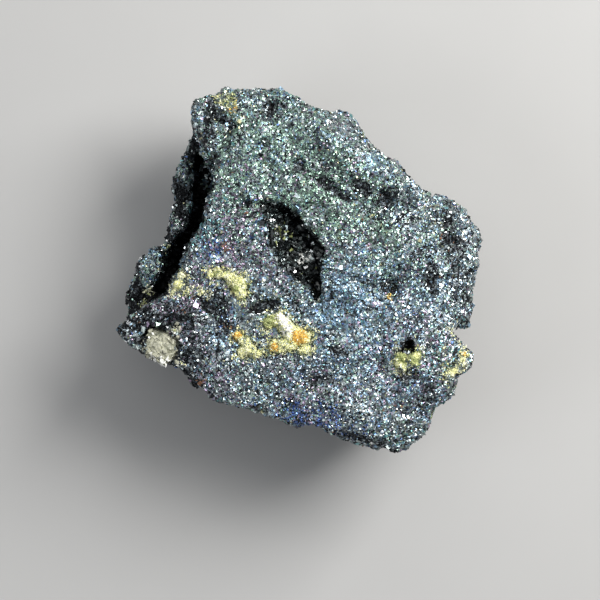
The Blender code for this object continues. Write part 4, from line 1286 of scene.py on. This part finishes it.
class SPECIMEN_OT_quartz(bpy.types.Operator):
    """Breaks the quartz grain's faces up over the CAD's and adds the small crystals at its lower edge"""

    bl_idname = "specimen.quartz"
    bl_label = "Quartz grain"

    def execute(self, context):
        settings = context.scene.specimen_quartz
        skin = bpy.data.objects["galena_skin"]
        grain = node_copy("quartz_grain", "quartz_body")
        mesh = remeshed(grain, FINE_VOXEL, 3)
        self.break_faces(mesh, settings)
        mesh.shade_flat()
        set_materials(mesh, [quartz_material(settings)])
        skin_places = points_of(skin.data) / MM
        self.break_seam(settings, skin, skin_places, points_of(mesh) / MM)
        spur_far = distance_from_line(skin_places, QUARTZ_SPUR) + 1.0
        around = np.minimum(distance_from_line(skin_places, QUARTZ_EDGE), spur_far)
        rim = patch_of(skin, "quartz_rim", (around < 2.4) & (skin_places[:, 2] > 22))
        ground = joined("quartz_ground", [new_object("body_copy", mesh.copy()), rim])
        self.set_crystal_shares(ground.data, len(mesh.vertices), skin_places)
        materials = {
            "chip": crystal_material("quartz_chip", Vector(settings.milky), 0.25, 0.5),
            "pale": crystal_material("quartz_pale", context.scene.specimen_hollow.pale, 0.15, 0.35),
            "steel": bpy.data.materials["grain_steel"],
            "soot": bpy.data.materials["grain_soot"],
        }
        tree = scatter_tree("quartz_crystals", list(materials), materials.values(), grain_shapes,
                            "crystal_share")
        crystals = scatter("quartz_small", ground, tree, Spacing=settings.spacing, Smallest=settings.smallest,
                           Largest=settings.largest, Sunk=0.1, Tilt=1.0, Wear=0.16 * MM, Seed=9)
        crystals.data.shade_flat()
        bpy.data.objects.remove(ground)
        finish_piece(grain, ["quartz_grain"])
        finish_piece(crystals, [])
        return {"FINISHED"}

    @staticmethod
    def break_faces(mesh, settings):
        """Shell-like breaks and ripples of the body, which is drawn in on its lower and left side."""
        places, normals = points_of(mesh), normals_of(mesh)
        shells = broken_blocks(places / MM, 2.8, 71.0) * 0.42 + noise_at(places / MM, 1.5, 72.0) * 0.26
        shells += settings.ripple / MM * np.sin(noise_at(places / MM, 2.4, 73.0) * 14.0) * 0.6
        shells += noise_at(places / MM, 0.5, 74.0) * 0.07
        shells -= 0.9 * unit(-normals[:, 1] - 0.2) + 0.5 * unit(-normals[:, 0] - 0.2)
        set_points(mesh, places + normals * (shells[:, None] - 0.3) * MM)

    @staticmethod
    def break_seam(settings, skin, skin_places, quartz_places):
        """Coarse galena grains that reach over the quartz from the rock around it."""
        around = distance_from(skin_places, QUARTZ_MIDDLE) < 9.0
        far = np.full(len(skin_places), 9.0)
        far[around] = nearest_distance(skin_places[around], quartz_places)
        seam = patch_of(skin, "seam_ground", far < 1.7)
        places = points_of(seam.data) / MM
        reach = unit(1.9 - nearest_distance(places, quartz_places))
        ragged = np.clip(0.6 + 1.4 * noise_at(places, 1.3, 77.0), 0.15, 1)
        set_attribute(seam.data, "seam_share", reach * ragged)
        scatter_coarse("seam_grains", seam, "seam_share", settings.seam_spacing, settings.seam_largest, 21)

    @staticmethod
    def set_crystal_shares(mesh, body_count, skin_places):
        """Where the chips, the small white crystals and the rock's own grains sit on the quartz."""
        places = points_of(mesh) / MM
        on_body = np.arange(len(places)) < body_count
        ragged = noise_at(places, 1.2, 75.0)
        edge = falloff(distance_from_line(places, QUARTZ_EDGE), 2.4)
        spur = unit(falloff(distance_from_line(places, QUARTZ_SPUR), 1.5) * 2)
        seam = unit(1.5 - nearest_distance(places, skin_places) / 0.7) * on_body
        seam = unit(seam * (0.8 + 1.2 * ragged))
        left = unit(-29.4 - places[:, 0]) * on_body
        low = unit((27.6 + 2.4 * noise_at(places, 2.2, 78.0) - places[:, 2]) / 1.5)
        dark = unit(np.maximum(left, low) * (0.9 + 1.0 * ragged))
        share = unit(edge * 1.2 + spur + seam + dark + 0.45 * (ragged > -0.1)) * (places[:, 2] > 19)
        set_attribute(mesh, "crystal_share", share)
        set_shares(mesh, {"pale": 0.1 + 0.8 * edge, "steel": dark + 0.12 * seam, "soot": dark * 0.5 + 0.05})


# The stage

class SPECIMEN_OT_stage(bpy.types.Operator):
    """Sets up the floor, the lights, the surroundings and the camera"""

    bl_idname = "specimen.stage"
    bl_label = "Stage"

    def execute(self, context):
        settings = context.scene.specimen_stage
        floor_mesh = bpy.data.meshes.new("floor")
        floor_mesh.from_pydata([(-3, -3, 0), (3, -3, 0), (3, 3, 0), (-3, 3, 0)], [], [(0, 1, 2, 3)])
        floor_mesh.materials.append(floor_material(settings))
        new_object("floor", floor_mesh)
        for name, place, power, shade in (
            ("key", (0.30, 0.20, 0.38), settings.key_power, (1.0, 0.985, 0.96)),
            ("fill", (-0.42, -0.12, 0.40), settings.fill_power, (0.93, 0.96, 1.0)),
        ):
            lamp = bpy.data.lights.new(name, "AREA")
            lamp.shape = "SQUARE"
            lamp.size = settings.lamp_size
            lamp.energy = power
            lamp.color = shade
            holder = new_object(name, lamp)
            holder.location = place
            holder.rotation_euler = (Vector((0, 0, 0.03)) - Vector(place)).to_track_quat("-Z", "Y").to_euler()
        sun = bpy.data.lights.new("soft_sky", "SUN")
        sun.energy = settings.sun_power
        sun.angle = math.radians(60)
        new_object("soft_sky", sun).rotation_euler = (math.radians(-25), 0, 0)
        context.scene.world = self.room(settings)
        context.scene.view_settings.view_transform = "Standard"
        camera = bpy.data.cameras.new("camera")
        camera.sensor_width = 36.0
        camera.lens = camera.sensor_width * settings.camera_height / settings.frame_width
        camera.clip_end = 10.0
        holder = new_object("camera", camera)
        holder.location = (0.4 * MM, -5.8 * MM, settings.camera_height + 0.018)
        context.scene.camera = holder
        return {"FINISHED"}

    @staticmethod
    def room(settings):
        """A dark room for the rock to mirror, with a paler backdrop where the camera looks past the floor."""
        world = bpy.data.worlds.new("studio")
        world.use_nodes = True
        nodes = NodeTree(world.node_tree)
        sky = world.node_tree.nodes["Background"]
        sky.inputs["Color"].default_value = (*settings.sky, 1.0)
        backdrop = nodes.add("ShaderNodeBackground", Color=(*settings.backdrop, 1.0))
        seen = nodes.add("ShaderNodeLightPath").outputs["Is Camera Ray"]
        mixed = nodes.add("ShaderNodeMixShader", i0=seen, i1=sky, i2=backdrop)
        nodes.put(world.node_tree.nodes["World Output"].inputs["Surface"], mixed)
        return world


class SPECIMEN_PT_panel(bpy.types.Panel):
    """Lists the specimen's steps and settings"""

    bl_idname = "SPECIMEN_PT_panel"
    bl_label = "Galena specimen"
    bl_space_type = "VIEW_3D"
    bl_region_type = "UI"
    bl_category = "Specimen"

    def draw(self, context):
        for operator in OPERATORS:
            self.layout.operator(operator.bl_idname)
        for name, group in SETTINGS.items():
            box = self.layout.box()
            box.label(text=group.__doc__)
            for setting in group.__annotations__:
                box.prop(getattr(context.scene, name), setting)


OPERATORS = [
    SPECIMEN_OT_skin, SPECIMEN_OT_grains, SPECIMEN_OT_crusts, SPECIMEN_OT_hollow, SPECIMEN_OT_quartz,
    SPECIMEN_OT_stage,
]
SETTINGS = {
    "specimen_skin": SkinSettings,
    "specimen_grains": GrainSettings,
    "specimen_tarnish": TarnishSettings,
    "specimen_crusts": CrustSettings,
    "specimen_hollow": HollowSettings,
    "specimen_quartz": QuartzSettings,
    "specimen_stage": StageSettings,
}


def register():
    for name, group in SETTINGS.items():
        bpy.utils.register_class(group)
        setattr(bpy.types.Scene, name, bpy.props.PointerProperty(type=group))
    for operator in OPERATORS:
        bpy.utils.register_class(operator)
    bpy.utils.register_class(SPECIMEN_PT_panel)


def unregister():
    bpy.utils.unregister_class(SPECIMEN_PT_panel)
    for operator in reversed(OPERATORS):
        bpy.utils.unregister_class(operator)
    for name, group in SETTINGS.items():
        delattr(bpy.types.Scene, name)
        bpy.utils.unregister_class(group)


def main():
    register()
    for operator in OPERATORS:
        package, name = operator.bl_idname.split(".")
        getattr(getattr(bpy.ops, package), name)()


if __name__ == "__main__":
    main()
